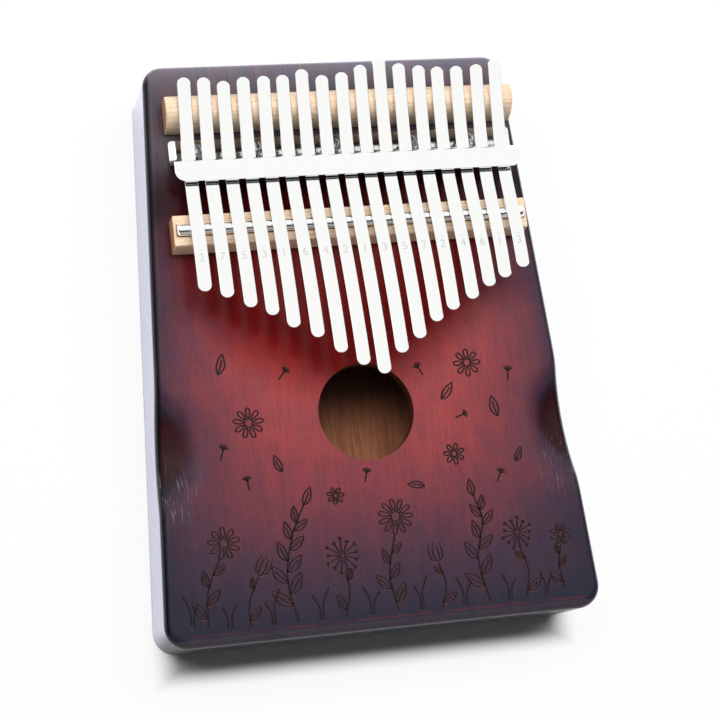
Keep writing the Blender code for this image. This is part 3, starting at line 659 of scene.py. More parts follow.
def white_paper(name):
    """Seamless white paper: matt, and lifted a little where it is seen directly or in a reflection, so that
    it reads as white."""
    tree, shader, place = start_material(name)
    fibre = node(tree, "ShaderNodeTexNoise", {"Vector": place, "Scale": 1 / (2 * MM), "Detail": 2.0})
    tone = node(tree, "ShaderNodeValToRGB", {0: fibre}, stops=((0.0, grey(0.90)), (1.0, grey(0.92))))
    fill(shader, {"Base Color": tone, "Roughness": 1.0, "Specular IOR Level": 0.0})
    path = node(tree, "ShaderNodeLightPath").outputs
    x, y = node(tree, "ShaderNodeSeparateXYZ", {0: place}).outputs[:2]
    # The paper close ahead of the lower end keeps its whole shadow, and the rest reads as overexposed white
    ahead = node(tree, "ShaderNodeMath", {0: y, 1: BODY_LOW.y}, operation="SUBTRACT")
    ahead = node(tree, "ShaderNodeMath", {0: ahead}, operation="ABSOLUTE")
    clear = node(tree, "ShaderNodeMapRange", {0: ahead, 1: 4 * MM, 2: 12 * MM}, **SMOOTH)
    aside = node(tree, "ShaderNodeMath", {0: x}, operation="ABSOLUTE")
    beside = {0: aside, 1: BODY_HIGH.x - 9 * MM, 2: BODY_HIGH.x + 2 * MM}
    beside = node(tree, "ShaderNodeMapRange", beside, **SMOOTH)
    open_floor = node(tree, "ShaderNodeMath", {0: clear, 1: beside}, operation="MAXIMUM")
    glow = node(tree, "ShaderNodeEmission", {0: (1, 1, 1, 1), 1: 1.0})
    # Far off it runs into the white of the room
    distance = node(tree, "ShaderNodeVectorMath", {0: place}, operation="LENGTH").outputs["Value"]
    lifted = node(tree, "ShaderNodeMapRange", {0: distance, 1: 0.25, 2: 0.9, 3: 0.9, 4: 1.0}, **SMOOTH)
    # Only the camera sees the paper's own glow
    direct = node(tree, "ShaderNodeMath", {0: path["Is Camera Ray"], 1: lifted}, operation="MULTIPLY")
    direct = node(tree, "ShaderNodeMath", {0: direct, 1: open_floor}, operation="MULTIPLY")
    seen = node(tree, "ShaderNodeMixShader", {0: direct, 1: shader, 2: glow})
    # In the gloss the paper beside and behind the body glows a cool white of its own, a painted glow that the
    # walls mirror
    past_end = {0: y, 1: BODY_LOW.y - 1 * MM, 2: BODY_LOW.y + 8 * MM, 4: 1.16}
    past_end = node(tree, "ShaderNodeMapRange", past_end, **SMOOTH)
    gleam = node(tree, "ShaderNodeMath", {0: path["Is Glossy Ray"], 1: past_end}, operation="MULTIPLY")
    mirrored = node(tree, "ShaderNodeEmission", {0: (*linear("#e6e7ff"), 1), 1: gleam})
    both = node(tree, "ShaderNodeAddShader", {0: seen, 1: mirrored})
    fill(tree.nodes["Material Output"], {"Surface": both})


LACQUER = "sunburst lacquer on mahogany"
MAHOGANY = "bare mahogany"
BACK = "bare back panel"
BEECH = "planed beech"
BEECH_END = "sawn beech end grain"
CHROME = "chrome plated steel"
SPRING_STEEL = "polished spring steel"
SCREW_STEEL = "plated screw steel"
STAMP = "stamped steel"
BURNT = "burnt engraved line"
BURNT_HIGHLIGHT = "bare edge of an engraved line"
FLOOR = "white paper floor"

# How each material is made. Lengths are in millimetres, and a metal's streaks lie along X, Y and Z
MATERIALS = {
    LACQUER: (sunburst_lacquer, {}),
    MAHOGANY: (
        bare_wood,
        {"shade": "bare_mahogany", "rings": (0.7, 12), "flecks": (0.25, 2.5), "rough": 0.6, "late": 0.6},
    ),
    BACK: (
        bare_wood,
        {"shade": "back_inside", "rings": (0.9, 12), "flecks": (0.35, 2.2), "rough": 0.6, "late": 0.62},
    ),
    BEECH: (
        bare_wood,
        {
            "shade": "beech_pale", "late_shade": "beech_tan", "along": X,
            "rings": (0.45, 14), "flecks": (0.2, 1.6), "rough": 0.5,
        },
    ),
    BEECH_END: (
        bare_wood,
        {"shade": "beech_end", "rings": (0.3, 1.6), "flecks": (0.12, 0.2), "rough": 0.7, "late": 0.6},
    ),
    CHROME: (
        polished_metal,
        {"shade": "chrome", "streaks": (2.5, 0.12, 2.5), "rough": 0.07, "dulling": 0.96, "lift": 0.002},
    ),
    SPRING_STEEL: (
        polished_metal,
        {"shade": "steel", "streaks": (0.12, 6, 3), "rough": 0.11, "dulling": 0.95, "lift": 0.003},
    ),
    SCREW_STEEL: (
        polished_metal,
        {"shade": "screw_steel", "streaks": (0.3, 0.3, 0.3), "rough": 0.07, "dulling": 0.7, "lift": 0.006},
    ),
    STAMP: (
        polished_metal,
        {"shade": "stamp", "streaks": (0.08, 0.08, 0.08), "rough": 0.4, "dulling": 0.85, "lift": 0.006},
    ),
    BURNT: (engraved_wood, {"shade": "engraving", "rough": 0.65}),
    BURNT_HIGHLIGHT: (engraved_wood, {"shade": "engraving_highlight", "rough": 0.5}),
    FLOOR: (white_paper, {}),
}


def material(name):
    """The material of this name, made once."""
    if name not in bpy.data.materials:
        make, given = MATERIALS[name]
        make(name, **given)
    return bpy.data.materials[name]


# Body


def plan_face(shape, height, lower_y, upper_y, inset, lower_radius, upper_radius, steps=CORNER_STEPS):
    """The body's tapered, round-cornered plan as one face, drawn in from its long sides."""
    lower = half_width(lower_y) - inset
    upper = half_width(upper_y) - inset
    corners = ((-lower, lower_y), (lower, lower_y), (upper, upper_y), (-upper, upper_y))
    verts = flat_face(shape, corners, height)
    bevel(shape, verts[:2], lower_radius, steps, "VERTICES")
    bevel(shape, verts[2:], upper_radius, steps, "VERTICES")


def body_plan(shape, height):
    """The whole body's plan."""
    body = settings().kalimba_body
    plan_face(shape, height, BODY_LOW.y, BODY_HIGH.y, 0, body.lower_corner, body.upper_corner)


def scoop_depth(x, y):
    """How far a hand rest lies under the board here. It is part of an ellipsoid centred outside the edge."""
    body = settings().kalimba_body
    lift, outside = body.scoop_lift, body.scoop_outside
    half_depth = lift + body.scoop_dip
    share = math.sqrt(1 - (lift / half_depth) ** 2)
    half_across = (body.scoop_reach + outside) / share
    half_along = body.scoop_length / 2 / share
    across = (abs(x) - half_width(body.scoop_place) - outside) / half_across
    along = (y - body.scoop_place) / half_along
    bowl = half_depth * math.sqrt(max(0, 1 - across**2 - along**2)) - lift
    soft = body.scoop_soft
    rest = (math.hypot(lift, soft) - lift) / 2
    return (bowl + math.hypot(bowl, soft)) / 2 - rest


def body_block(shape):
    """The outside of the body: its plan raised, its rim rounded, and its hand rests pressed in."""
    body = settings().kalimba_body
    low = BODY_LOW.z
    body_plan(shape, low)
    raise_face(shape, (0, 0, BOARD - low))
    bevel(shape, sharp_edges(shape, lambda edge: level_with(edge, Z, BOARD)), body.top_fillet, RIM_STEPS)
    around, inward = 24 * MM, 18 * MM
    slice_at(shape, Y, span(body.scoop_place - around, body.scoop_place + around, REST_STEP))
    outer = half_width(body.scoop_place - around)
    inner = half_width(body.scoop_place + around) - inward
    for side in (-1, 1):
        slice_at(shape, X, [side * place for place in span(inner, outer, REST_STEP)])
    wall_top = BOARD - body.top_fillet
    wall_depth = 9 * MM
    slice_at(shape, Z, span(wall_top - wall_depth, wall_top - NEAR, WALL_STEP))
    for vert in shape.verts:
        share = min(1, max(0, (vert.co.z - wall_top + wall_depth) / wall_depth))
        vert.co.z -= scoop_depth(vert.co.x, vert.co.y) * share * share * (3 - 2 * share)


def cavity(shape):
    body = settings().kalimba_body
    lower = BODY_LOW.y + body.wall
    low = BODY_LOW.z - PAST
    plan_face(shape, low, lower, body.cavity_end, body.wall, body.cavity_corner, body.cavity_corner, steps=8)
    raise_face(shape, (0, 0, BOARD - body.board_thickness - low))


def sound_hole(shape):
    body = settings().kalimba_body
    low = BOARD - body.board_thickness - PAST
    post(shape, body.hole_radius, low, BOARD + PAST, 0, body.hole_place, sides=128)


def screw_holes(low, high):
    """The screws' clearance holes, between these heights over the board."""

    def build(shape):
        fit = settings().kalimba_fittings
        for place in SCREW_BETWEEN:
            x = row_x(place - 0.5)
            post(shape, fit.shank_radius + SEAT, BOARD + low, BOARD + high, x, fit.screw_place, sides=24)

    return build


class KALIMBA_OT_body(Operator):
    """Build the lacquered body with its sound hole, cavity and hand rests"""

    bl_idname = "kalimba.body"
    bl_label = "Body"

    def execute(self, context):
        body = context.scene.kalimba_body
        fit = context.scene.kalimba_fittings
        made = new_object("lacquered_body", mesh_of(body_block))
        carve(made, cavity, sound_hole, screw_holes(SEAT + fit.sheet - fit.screw_length, PAST))

        def finish(shape):
            middle = Vector((0, body.hole_place))
            ends = BODY_LOW.y + body.wall / 2, BODY_HIGH.y - body.wall / 2

            def on_rim(edge):
                return level_with(edge, Z, BOARD) and all(
                    abs((vert.co.xy - middle).length - body.hole_radius) < NEAR for vert in edge.verts
                )

            bevel(shape, sharp_edges(shape, on_rim), body.hole_round, 3)
            for face in shape.faces:
                place = face.calc_center_median()
                deep = half_width(place.y) - abs(place.x) > body.wall - NEAR
                between = ends[0] < place.y < ends[1]
                if deep and between and BODY_LOW.z + LEVEL < place.z < BOARD - 1 * MM:
                    face.material_index = 1

        reshape(made, finish)
        dress(made, (LACQUER, MAHOGANY), nodes=("body_shell",))
        return {"FINISHED"}


class KALIMBA_OT_back(Operator):
    """Build the panel that closes the body from behind"""

    bl_idname = "kalimba.back"
    bl_label = "Back panel"

    def execute(self, context):
        body = context.scene.kalimba_body

        def build(shape):
            low = PANEL_LOW.z
            body_plan(shape, low)
            raise_face(shape, (0, 0, PANEL_HIGH.z - low))
            bevel(shape, sharp_edges(shape, lambda edge: level_with(edge, Z, low)), body.panel_fillet, 8)
            shape.normal_update()
            for face in shape.faces:
                face.material_index = 1 if face.normal.z > FACING else 0

        made = new_object("closing_back", mesh_of(build))
        dress(made, (LACQUER, BACK), nodes=("back_panel",))
        return {"FINISHED"}


# Bridges


def show_end_grain(shape):
    """Gives the faces across the grain the second material."""
    for face in shape.faces:
        face.material_index = 1 if abs(face.normal.x) > FACING else 0


class KALIMBA_OT_rear_bridge(Operator):
    """Build the half-round beech strip under the tine tails"""

    bl_idname = "kalimba.rear_bridge"
    bl_label = "Rear bridge"

    def execute(self, context):
        fit = context.scene.kalimba_fittings
        crest = context.scene.kalimba_tines.crest_place
        half_depth = crest - REAR_LOW.y
        height = REAR_HIGH.z - REAR_LOW.z

        def build(shape):
            bmesh.ops.create_circle(shape, cap_ends=True, segments=96, radius=1, matrix=ONTO_X)
            bmesh.ops.scale(shape, verts=shape.verts, vec=(1, half_depth, height))
            bmesh.ops.translate(shape, verts=shape.verts, vec=(REAR_LOW.x, crest, REAR_LOW.z))
            for place, away in ((REAR_LOW, (0, 0, -1)), (REAR_HIGH, (0, 1, 0))):
                cut_plane(shape, place, away, clear_outer=True)
            raise_face(shape, (REAR_HIGH.x - REAR_LOW.x, 0, 0))
            show_end_grain(shape)
            eased = sharp_edges(shape, lambda edge: not level_with(edge, Z, REAR_LOW.z))
            bevel(shape, eased, fit.bridge_round / 2, 3)

        made = new_object("rear_bridge_strip", mesh_of(build))
        dress(made, (BEECH, BEECH_END), nodes=("rear_bridge",))
        return {"FINISHED"}


def rod_shape(shape, over=0.0):
    """A round bar where the tines cross the front bridge, larger all round by this much."""
    place = Matrix.Translation((ROD_LOW + ROD_HIGH) / 2) @ ONTO_X
    depth = ROD_HIGH.x - ROD_LOW.x + 2 * over
    radius = ROD_RADIUS + over
    bmesh.ops.create_cone(
        shape, cap_ends=True, segments=64, radius1=radius, radius2=radius, depth=depth, matrix=place
    )


class KALIMBA_OT_front_bridge(Operator):
    """Build the grooved beech strip that carries the rod"""

    bl_idname = "kalimba.front_bridge"
    bl_label = "Front bridge"

    def execute(self, context):
        fit = context.scene.kalimba_fittings

        def build(shape):
            block(shape, FRONT_LOW, FRONT_HIGH)
            for vert in shape.verts:
                if vert.co.z > FRONT_HIGH.z - LEVEL and vert.co.y < FRONT_LOW.y + LEVEL:
                    vert.co.y += fit.bridge_draft
            show_end_grain(shape)
            eased = sharp_edges(shape, lambda edge: not level_with(edge, Z, FRONT_LOW.z))
            bevel(shape, eased, fit.bridge_round, 4)

        made = new_object("front_bridge_strip", mesh_of(build))
        carve(made, lambda shape: rod_shape(shape, SEAT))
        dress(made, (BEECH, BEECH_END), nodes=("front_bridge",))
        return {"FINISHED"}


class KALIMBA_OT_rod(Operator):
    """Build the chromed rod that the tines rest on"""

    bl_idname = "kalimba.rod"
    bl_label = "Rod"

    def execute(self, context):
        fit = context.scene.kalimba_fittings

        def build(shape):
            rod_shape(shape)
            bevel(shape, sharp_edges(shape), fit.rod_round, 6)

        made = new_object("chromed_rod", mesh_of(build))
        dress(made, (CHROME,), nodes=("bridge_rod",))
        return {"FINISHED"}


# Bracket and screws


def bracket_sheet(shape):
    """The bracket's bent middle sheet with its corners rounded, then thickened."""
    fit = settings().kalimba_fittings
    base = BOARD + SEAT + fit.sheet / 2
    lip = BRACKET_HIGH.z - fit.sheet / 2
    rear = BRACKET_HIGH.y
    foot = rear - fit.base
    head = foot - fit.lean
    line = ((rear, base), (foot, base), (head, lip), (head - fit.lip, lip))
    edges = open_line(shape, [(BRACKET_LOW.x, y, z) for y, z in line])[1]
    made = bmesh.ops.extrude_edge_only(shape, edges=edges)
    moved = [item for item in made["geom"] if isinstance(item, bmesh.types.BMVert)]
    bmesh.ops.translate(shape, verts=moved, vec=(BRACKET_HIGH.x - BRACKET_LOW.x, 0, 0))
    turn = math.atan2(lip - base, fit.lean)
    bevel(shape, sharp_edges(shape), fit.bend * math.tan(turn / 2), 10)
    for place, radius in ((rear, fit.base_corner), (head - fit.lip, fit.lip_corner)):
        corners = [vert for vert in shape.verts if abs(vert.co.y - place) < LEVEL]
        bevel(shape, corners, radius, 10, "VERTICES")
    bmesh.ops.recalc_face_normals(shape, faces=shape.faces)
    bmesh.ops.solidify(shape, geom=shape.faces[:], thickness=fit.sheet)
    bmesh.ops.recalc_face_normals(shape, faces=shape.faces)


def bracket_slots(shape):
    fit = settings().kalimba_fittings
    tines = settings().kalimba_tines
    half = tines.width / 2 + fit.slot_gap
    for index in range(len(SEMITONES)):
        x = row_x(index)
        front = tines.slot_place - fit.lean / 2 - fit.sheet
        rear = tines.slot_place + fit.lean / 2 + fit.sheet
        block(shape, (x - half, front, BOARD + fit.slot_low), (x + half, rear, BOARD + fit.slot_high))


class KALIMBA_OT_bracket(Operator):
    """Build the bent and slotted bracket that holds the tines down"""

    bl_idname = "kalimba.bracket"
    bl_label = "Tine bracket"

    def execute(self, context):
        made = new_object("bent_bracket", mesh_of(bracket_sheet))
        low = min(corner[2] for corner in made.bound_box)
        drop = BRACKET_LOW.z - low

        def ease(shape):
            bmesh.ops.translate(shape, verts=shape.verts, vec=(0, 0, drop))
            bevel(shape, sharp_edges(shape, angle=STEEP), SHEET_EASE, 2)

        reshape(made, ease)
        carve(made, bracket_slots, screw_holes(-PAST, 2 * PAST))
        dress(made, (CHROME,), nodes=("tine_bracket",))
        return {"FINISHED"}


def turned_screw(shape):
    """Half a screw's outline, turned all round. Zero is the underside of its head."""
    fit = settings().kalimba_fittings
    dome = fit.head_height - fit.head_rim
    line = [(0, fit.head_height)]
    for step in range(1, RIM_STEPS + 1):
        angle = math.pi / 2 * step / RIM_STEPS
        line.append((fit.head_radius * math.sin(angle), fit.head_rim + dome * math.cos(angle)))
    line += [(fit.head_radius - HEAD_EASE, 0), (fit.shank_radius, 0)]
    line += [(fit.shank_radius, fit.screw_tip - fit.screw_length), (0, -fit.screw_length)]
    verts, edges = open_line(shape, [(radius, 0, height) for radius, height in line])
    bmesh.ops.spin(
        shape,
        geom=verts + edges,
        cent=(0, 0, 0),
        axis=(0, 0, 1),
        angle=math.radians(360),
        steps=48,
        use_merge=True,
    )
    bmesh.ops.remove_doubles(shape, verts=shape.verts, dist=LEVEL)
    bmesh.ops.recalc_face_normals(shape, faces=shape.faces)


def recess_arm(half_x, half_y):
    """One arm of the cross recess, drawn in towards the bottom as a driver's tip is."""

    def build(shape):
        fit = settings().kalimba_fittings
        low = fit.head_height - fit.recess_depth
        block(shape, (-half_x, -half_y, low), (half_x, half_y, fit.head_height + PAST))
        for vert in shape.verts:
            if vert.co.z < low + LEVEL:
                vert.co.x *= RECESS_DRAFT
                vert.co.y *= RECESS_DRAFT

    return build


class KALIMBA_OT_screws(Operator):
    """Build the cross-recessed screws that hold the bracket"""

    bl_idname = "kalimba.screws"
    bl_label = "Screws"

    def execute(self, context):
        fit = context.scene.kalimba_fittings
        first = new_object("plain_screw", mesh_of(turned_screw))
        long, wide = fit.recess_span / 2, fit.recess_width / 2
        carve(first, recess_arm(long, wide), recess_arm(wide, long))
        for number, (place, turn) in enumerate(zip(SCREW_BETWEEN, SCREW_TURNS), 1):
            mesh = first.data.copy()
            seat = (row_x(place - 0.5), fit.screw_place, BOARD + 2 * SEAT + fit.sheet)
            mesh.transform(Matrix.Translation(seat) @ Matrix.Rotation(math.radians(turn), 4, "Z"))
            made = new_object(f"bracket_screw_{number}", mesh)
            dress(made, (SCREW_STEEL,), nodes=(f"screw_{number}",))
        bpy.data.objects.remove(first)
        return {"FINISHED"}


# Tines


def tine_reach(index):
    """How far a tine reaches past the rod: a bar's note rises with the inverse square of its length."""
    tines = settings().kalimba_tines
    return tines.ringing_length * 2 ** (-SEMITONES[index] / 24) - tines.ringing_behind


def tine_path(reach):
    """The height of a tine's middle over the board, for each place along it. It is sprung between the rod,
    its slot and the rear bridge, and levels out towards its tip."""
    tines = settings().kalimba_tines
    half = tines.thickness / 2
    behind = tines.slot_place - ROD_Y
    slope = 0.0
    for _ in range(ROUNDS):
        rod = ROD_HIGH.z - BOARD - ROD_RADIUS + half + (ROD_RADIUS + SEAT) * math.hypot(1, slope)
        slope = END_SLOPE * (rod - tines.slot_height) / behind
    depth = tines.crest_place - REAR_LOW.y
    tall = REAR_HIGH.z - BOARD
    tail = 0.0
    for _ in range(ROUNDS):
        ahead = depth**2 * tail / math.hypot(tall, depth * tail)
        crest = tall * math.sqrt(1 - (ahead / depth) ** 2) + half + SEAT * math.hypot(1, tail)
        tail = END_SLOPE * (crest - tines.slot_height) / (tines.crest_place - tines.slot_place - ahead)
    touch = tines.crest_place - ahead

    def height(y):
        if y < ROD_Y:
            out = ROD_Y - y
            return rod + slope * out - (slope - tines.tip_slope) * out**2 / (2 * reach)
        if y < tines.slot_place:
            out = y - ROD_Y
            return rod - slope * (out - out**3 / (3 * behind**2))
        out = touch - y
        if out > 0:
            return crest - tail * (out - out**3 / (3 * (touch - tines.slot_place) ** 2))
        return crest - tail * out

    return height


def stamped_number(shape, text, dots, tall):
    """A number with its octave dots, flat round its own middle."""
    curve = bpy.data.curves.new("mark", "FONT")
    curve.body = text
    curve.size = tall / CAPITAL
    curve.align_x = "CENTER"
    curve.align_y = "CENTER"
    shape.from_mesh(curve_mesh(curve))
    for dot in range(dots):
        place = Matrix.Translation(((dot - (dots - 1) / 2) * DOT_GAP, tall * 0.95, 0))
        bmesh.ops.create_circle(shape, cap_ends=True, segments=12, radius=DOT_RADIUS, matrix=place)


class KALIMBA_OT_tines(Operator):
    """Build the seventeen tines, each on its own body"""

    bl_idname = "kalimba.tines"
    bl_label = "Tines"

    def execute(self, context):
        tines = context.scene.kalimba_tines
        for index in range(len(SEMITONES)):
            self.build_tine(tines, index)
        return {"FINISHED"}

    def build_tine(self, tines, index):
        reach = tine_reach(index)
        height = tine_path(reach)
        tail = tines.crest_place + TAILS[index] - ROD_Y
        half = tines.width / 2
        lean = math.radians(LEANS[index])
        foot = row_x(index) + (tines.slot_place - ROD_Y) * math.tan(lean)
        place = Matrix.Translation((foot, ROD_Y, BOARD)) @ Matrix.Rotation(lean, 4, "Z")

        def tine(shape):
            corners = ((-half, -reach), (half, -reach), (half, tail), (-half, tail))
            verts = flat_face(shape, corners, -tines.thickness / 2)
            bevel(shape, verts, half - TIP_FLAT, 10, "VERTICES")
            raise_face(shape, (0, 0, tines.thickness))
            bevel(shape, sharp_edges(shape, angle=STEEP), tines.edge_round, 3)
            slice_at(shape, Y, span(-reach + half, tail - half, TINE_STEP))
            for vert in shape.verts:
                vert.co.z += height(ROD_Y + vert.co.y)
            bmesh.ops.transform(shape, matrix=place, verts=shape.verts)

        def number(shape):
            stamped_number(shape, MARKS[index], MARK_DOTS[index], tines.mark_height)
            along = FRONT_LOW.y - ROD_Y - tines.mark_place
            for vert in shape.verts:
                y = along + vert.co.y
                vert.co = (vert.co.x, y, height(ROD_Y + y) + tines.thickness / 2 + STAMP_LIFT)
            bmesh.ops.transform(shape, matrix=place, verts=shape.verts)

        body = f"tine_{index + 1:02}"
        made = new_object(f"steel_{body}", mesh_of(tine))
        dress(made, (SPRING_STEEL,), body, (body,))
        stamp = new_object(f"stamped_number_{index + 1:02}", mesh_of(number))
        dress(stamp, (STAMP,), body, smooth=False)


# Ornament

# A leaf's width as a share of its length
LEAF_WIDTH = 0.4


def bent_line(start, points, steps):
    """A smooth line through a start and a few more points, in millimetres."""
    knots = [Vector(start)] + [Vector(point) for point in points]
    padded = [2 * knots[0] - knots[1], *knots, 2 * knots[-1] - knots[-2]]
    line = []
    for a, b, c, d in zip(padded, padded[1:], padded[2:], padded[3:]):
        for step in range(steps):
            t = step / steps
            square = (2 * a - 5 * b + 4 * c - d) * t**2
            cube = (3 * b - a - 3 * c + d) * t**3
            line.append((2 * b + (c - a) * t + square + cube) / 2)
    line.append(knots[-1])
    return line


def heading(angle):
    """The direction at this many degrees from the body's right."""
    return Vector((math.cos(math.radians(angle)), math.sin(math.radians(angle))))


def leaf(base, angle, long, curl):
    """A pointed leaf whose midrib curls to one side."""
    ahead = heading(angle)
    aside = heading(angle + 90)

    def rib(t):
        return Vector(base) + long * (t * ahead + curl * t * t * aside)

    outline = []
    for side, steps in ((1, range(15)), (-1, range(13, 0, -1))):
        for step in steps:
            t = step / 14
            across = side * LEAF_WIDTH / 2 * math.sin(math.pi * t) ** 0.85 * (1.2 - 0.45 * t)
            outline.append(rib(t) + long * across * aside)
    return [(outline, True), ([rib(t) for t in (0.0, 0.2, 0.4, 0.6, 0.74)], False)]


def ring(middle, radius, sides=14):
    return [([Vector(middle) + radius * heading(360 * step / sides) for step in range(sides)], True)]


def loop(base, angle, long, wide):
    """A round-ended petal."""
    points = []
    for step in range(16):
        turn = 2 * math.pi * step / 16
        along = long * (1 - math.cos(turn)) / 2
        across = wide / 2 * math.sin(turn) * (0.6 + 0.4 * along / long)
        points.append(Vector(base) + along * heading(angle) + across * heading(angle + 90))
    return [(points, True)]


def daisy(middle, radius, petals, turn):
    """An open flower: separate petals about a ring."""
    strokes = ring(middle, radius * 0.27)
    for petal in range(petals):
        angle = turn + 360 * petal / petals
        base = Vector(middle) + radius * 0.34 * heading(angle)
        strokes += loop(base, angle, radius * 0.66, radius * 3.1 / petals)
    return strokes


def seed_head(middle, radius, turn):
    """A ball of seeds: rays from a small ring, each with a forked tip."""
    strokes = ring(middle, radius * 0.16, 10)
    for ray in range(13):
        angle = turn + 360 * ray / 13
        reach = radius * (1.0 if ray % 2 else 0.84)
        tip = Vector(middle) + reach * heading(angle)
        strokes.append(([Vector(middle) + radius * 0.22 * heading(angle), tip], False))
        for fork in (-42, 0, 42):
            strokes.append(([tip, tip + radius * 0.2 * heading(angle + fork)], False))
    return strokes


def bell(base, angle, long):
    """A closed cup of three petals."""
    ahead, aside = heading(angle), heading(angle + 90)
    rim = ((0.0, 0.0), (0.18, 0.3), (0.55, 0.36), (1.0, 0.3), (0.72, 0.12), (1.06, 0.0))
    fold = ((0.1, 0.1), (0.45, 0.15), (0.74, 0.1))

    def side_of(knots, side):
        return [Vector(base) + long * (along * ahead + side * across * aside) for along, across in knots]

    cup = side_of(rim, -1) + side_of(rim[-2:0:-1], 1)
    return [(cup, True), (side_of(fold, -1), False), (side_of(fold, 1), False)]


def drifting_seed(base, angle, long):
    """A seed on the wind: a short stalk with a tuft."""
    top = Vector(base) + long * heading(angle)
    strokes = [([Vector(base), top], False)]
    for fork in (-58, -30, 0, 30, 58):
        strokes.append(([top, top + long * 0.55 * heading(angle + fork)], False))
    return strokes


def blade(base, tip, bow):
    """A blade of grass as one bowed stroke."""
    base, tip = Vector(base), Vector(tip)
    aside = Vector((base.y - tip.y, tip.x - base.x)) * bow
    return [(bent_line(base, ((base + tip) / 2 + aside, tip), 6), False)]


def stalk(points, leaves, long, first=1):
    """A bent stem with leaves on alternate sides that grow smaller towards its tip."""
    stem = bent_line(points[0], points[1:], 8)
    strokes = [(stem, False)]
    for number in range(leaves):
        share = 0.16 + 0.7 * number / max(1, leaves - 1)
        place = int(share * (len(stem) - 2))
        along = stem[place + 1] - stem[place]
        angle = math.degrees(math.atan2(along.y, along.x))
        side = first if number % 2 == 0 else -first
        reach = long * (1.0 - 0.45 * share)
        strokes += leaf(stem[place], angle + side * (52 - 14 * share), reach, -side * 0.16)
    return strokes


# The engraved meadow: what draws each stroke, and its places in millimetres, angles in degrees and sizes
MEADOW = (
    (stalk, ((-57, -87), (-56, -76), (-51.5, -66)), 4, 7.5),
    (daisy, (-49.6, -61.6), 5.0, 9, 12),
    (stalk, ((-44, -88), (-43.5, -80), (-40, -73)), 2, 6.0, -1),
    (bell, (-39.6, -72.4), 62, 6.2),
    (stalk, ((-29, -88), (-31, -74), (-28, -61), (-23.5, -52)), 9, 8.6),
    (leaf, (-23.5, -52), 58, 6.0, 0.1),
    (stalk, ((-14, -88), (-12, -80), (-12.6, -73.6)), 2, 6.4),
    (seed_head, (-13, -68.8), 5.0, 10),
    (stalk, ((3, -88), (1.4, -76), (4.6, -63.4)), 5, 7.6, -1),
    (daisy, (5.4, -58.2), 5.6, 11, 0),
    (stalk, ((17, -88), (19, -81), (17.6, -74)), 2, 5.8, -1),
    (bell, (17.5, -73.6), 100, 6.0),
    (stalk, ((33, -88), (30.6, -74), (33.5, -62), (31.6, -54)), 8, 8.2),
    (leaf, (31.6, -54), 104, 5.6, -0.1),
    (stalk, ((45, -87.5), (46.6, -79), (44.8, -71.8)), 2, 6.4, -1),
    (seed_head, (44.4, -67.0), 4.6, 0),
    (stalk, ((58, -86), (57, -78), (58.4, -72)), 3, 5.6),
    (daisy, (58.8, -68.6), 3.4, 8, 20),
)
GRASS = (
    ((-62, -86), (-64, -76), -0.08), ((-61, -86.5), (-59.6, -79), 0.10), ((-51, -88), (-52, -81), -0.1),
    ((-49.5, -88), (-47.4, -80), 0.12), ((-37, -88), (-39, -80.5), -0.1), ((-36, -88), (-34, -77), 0.1),
    ((-22, -88), (-24, -80), -0.12), ((-21, -88), (-18.4, -78), 0.1), ((-6, -88), (-7.6, -79), -0.1),
    ((-5, -88), (-2.8, -81), 0.12), ((10, -88), (8.6, -80), -0.1), ((11.2, -88), (13, -77.5), 0.1),
    ((24, -88), (22.6, -79), -0.1), ((25.2, -88), (27.6, -80.5), 0.12), ((39, -88), (37.4, -79), -0.1),
    ((40, -88), (41.8, -81), 0.1), ((51, -87.6), (50.2, -80), -0.12), ((52.2, -87.6), (54, -81), 0.1),
)
BLOSSOMS = (
    ((-38, -25), 4.8, 9, 8), ((35, -11), 4.4, 8, 0), ((27, -40), 3.4, 7, 20), ((-13, -50), 2.7, 7, 5),
)
FALLEN_LEAVES = (
    ((-46, -9), 64, 6.6, 0.15), ((-29, -41), 122, 5.6, -0.2), ((25, -22), 38, 6.4, 0.2),
    ((43, -29), 108, 6.8, -0.12), ((16, -49.5), 158, 5.4, 0.2), ((47, -44), 52, 5.0, 0.2),
)
SEEDS = (
    ((-48, -36), 70, 3.4), ((-27, -12), 48, 3.2), ((-40, -46), 96, 3.0), ((20, -14), 118, 3.0),
    ((48, -18), 84, 3.4), ((40, -50), 60, 3.0), ((-3, -46.5), 76, 3.0), ((29, -28.5), 20, 2.8),
)


def ornament_strokes():
    """A meadow along the lower end, with its seeds, leaves and blossoms drifting up beside the sound hole."""
    strokes = [stroke for draw, *given in MEADOW for stroke in draw(*given)]
    for draw, places in ((blade, GRASS), (daisy, BLOSSOMS), (leaf, FALLEN_LEAVES), (drifting_seed, SEEDS)):
        for given in places:
            strokes += draw(*given)
    return strokes


def stroke_mesh(strokes, half_wide, thick, offset):
    """Flat ribbons along the strokes, lying on the board."""
    curve = bpy.data.curves.new("strokes", "CURVE")
    curve.dimensions = "3D"
    curve.bevel_depth = half_wide
    curve.bevel_resolution = 1
    curve.use_fill_caps = True
    for points, closed in strokes:
        spline = curve.splines.new("POLY")
        spline.points.add(len(points) - 1)
        for target, point in zip(spline.points, points):
            target.co = (point.x * MM, point.y * MM, 0, 1)
        spline.use_cyclic_u = closed
    mesh = curve_mesh(curve)
    flat = Matrix.Diagonal((1, 1, thick / half_wide, 1))
    mesh.transform(Matrix.Translation((0, offset, BOARD)) @ flat)
    return mesh


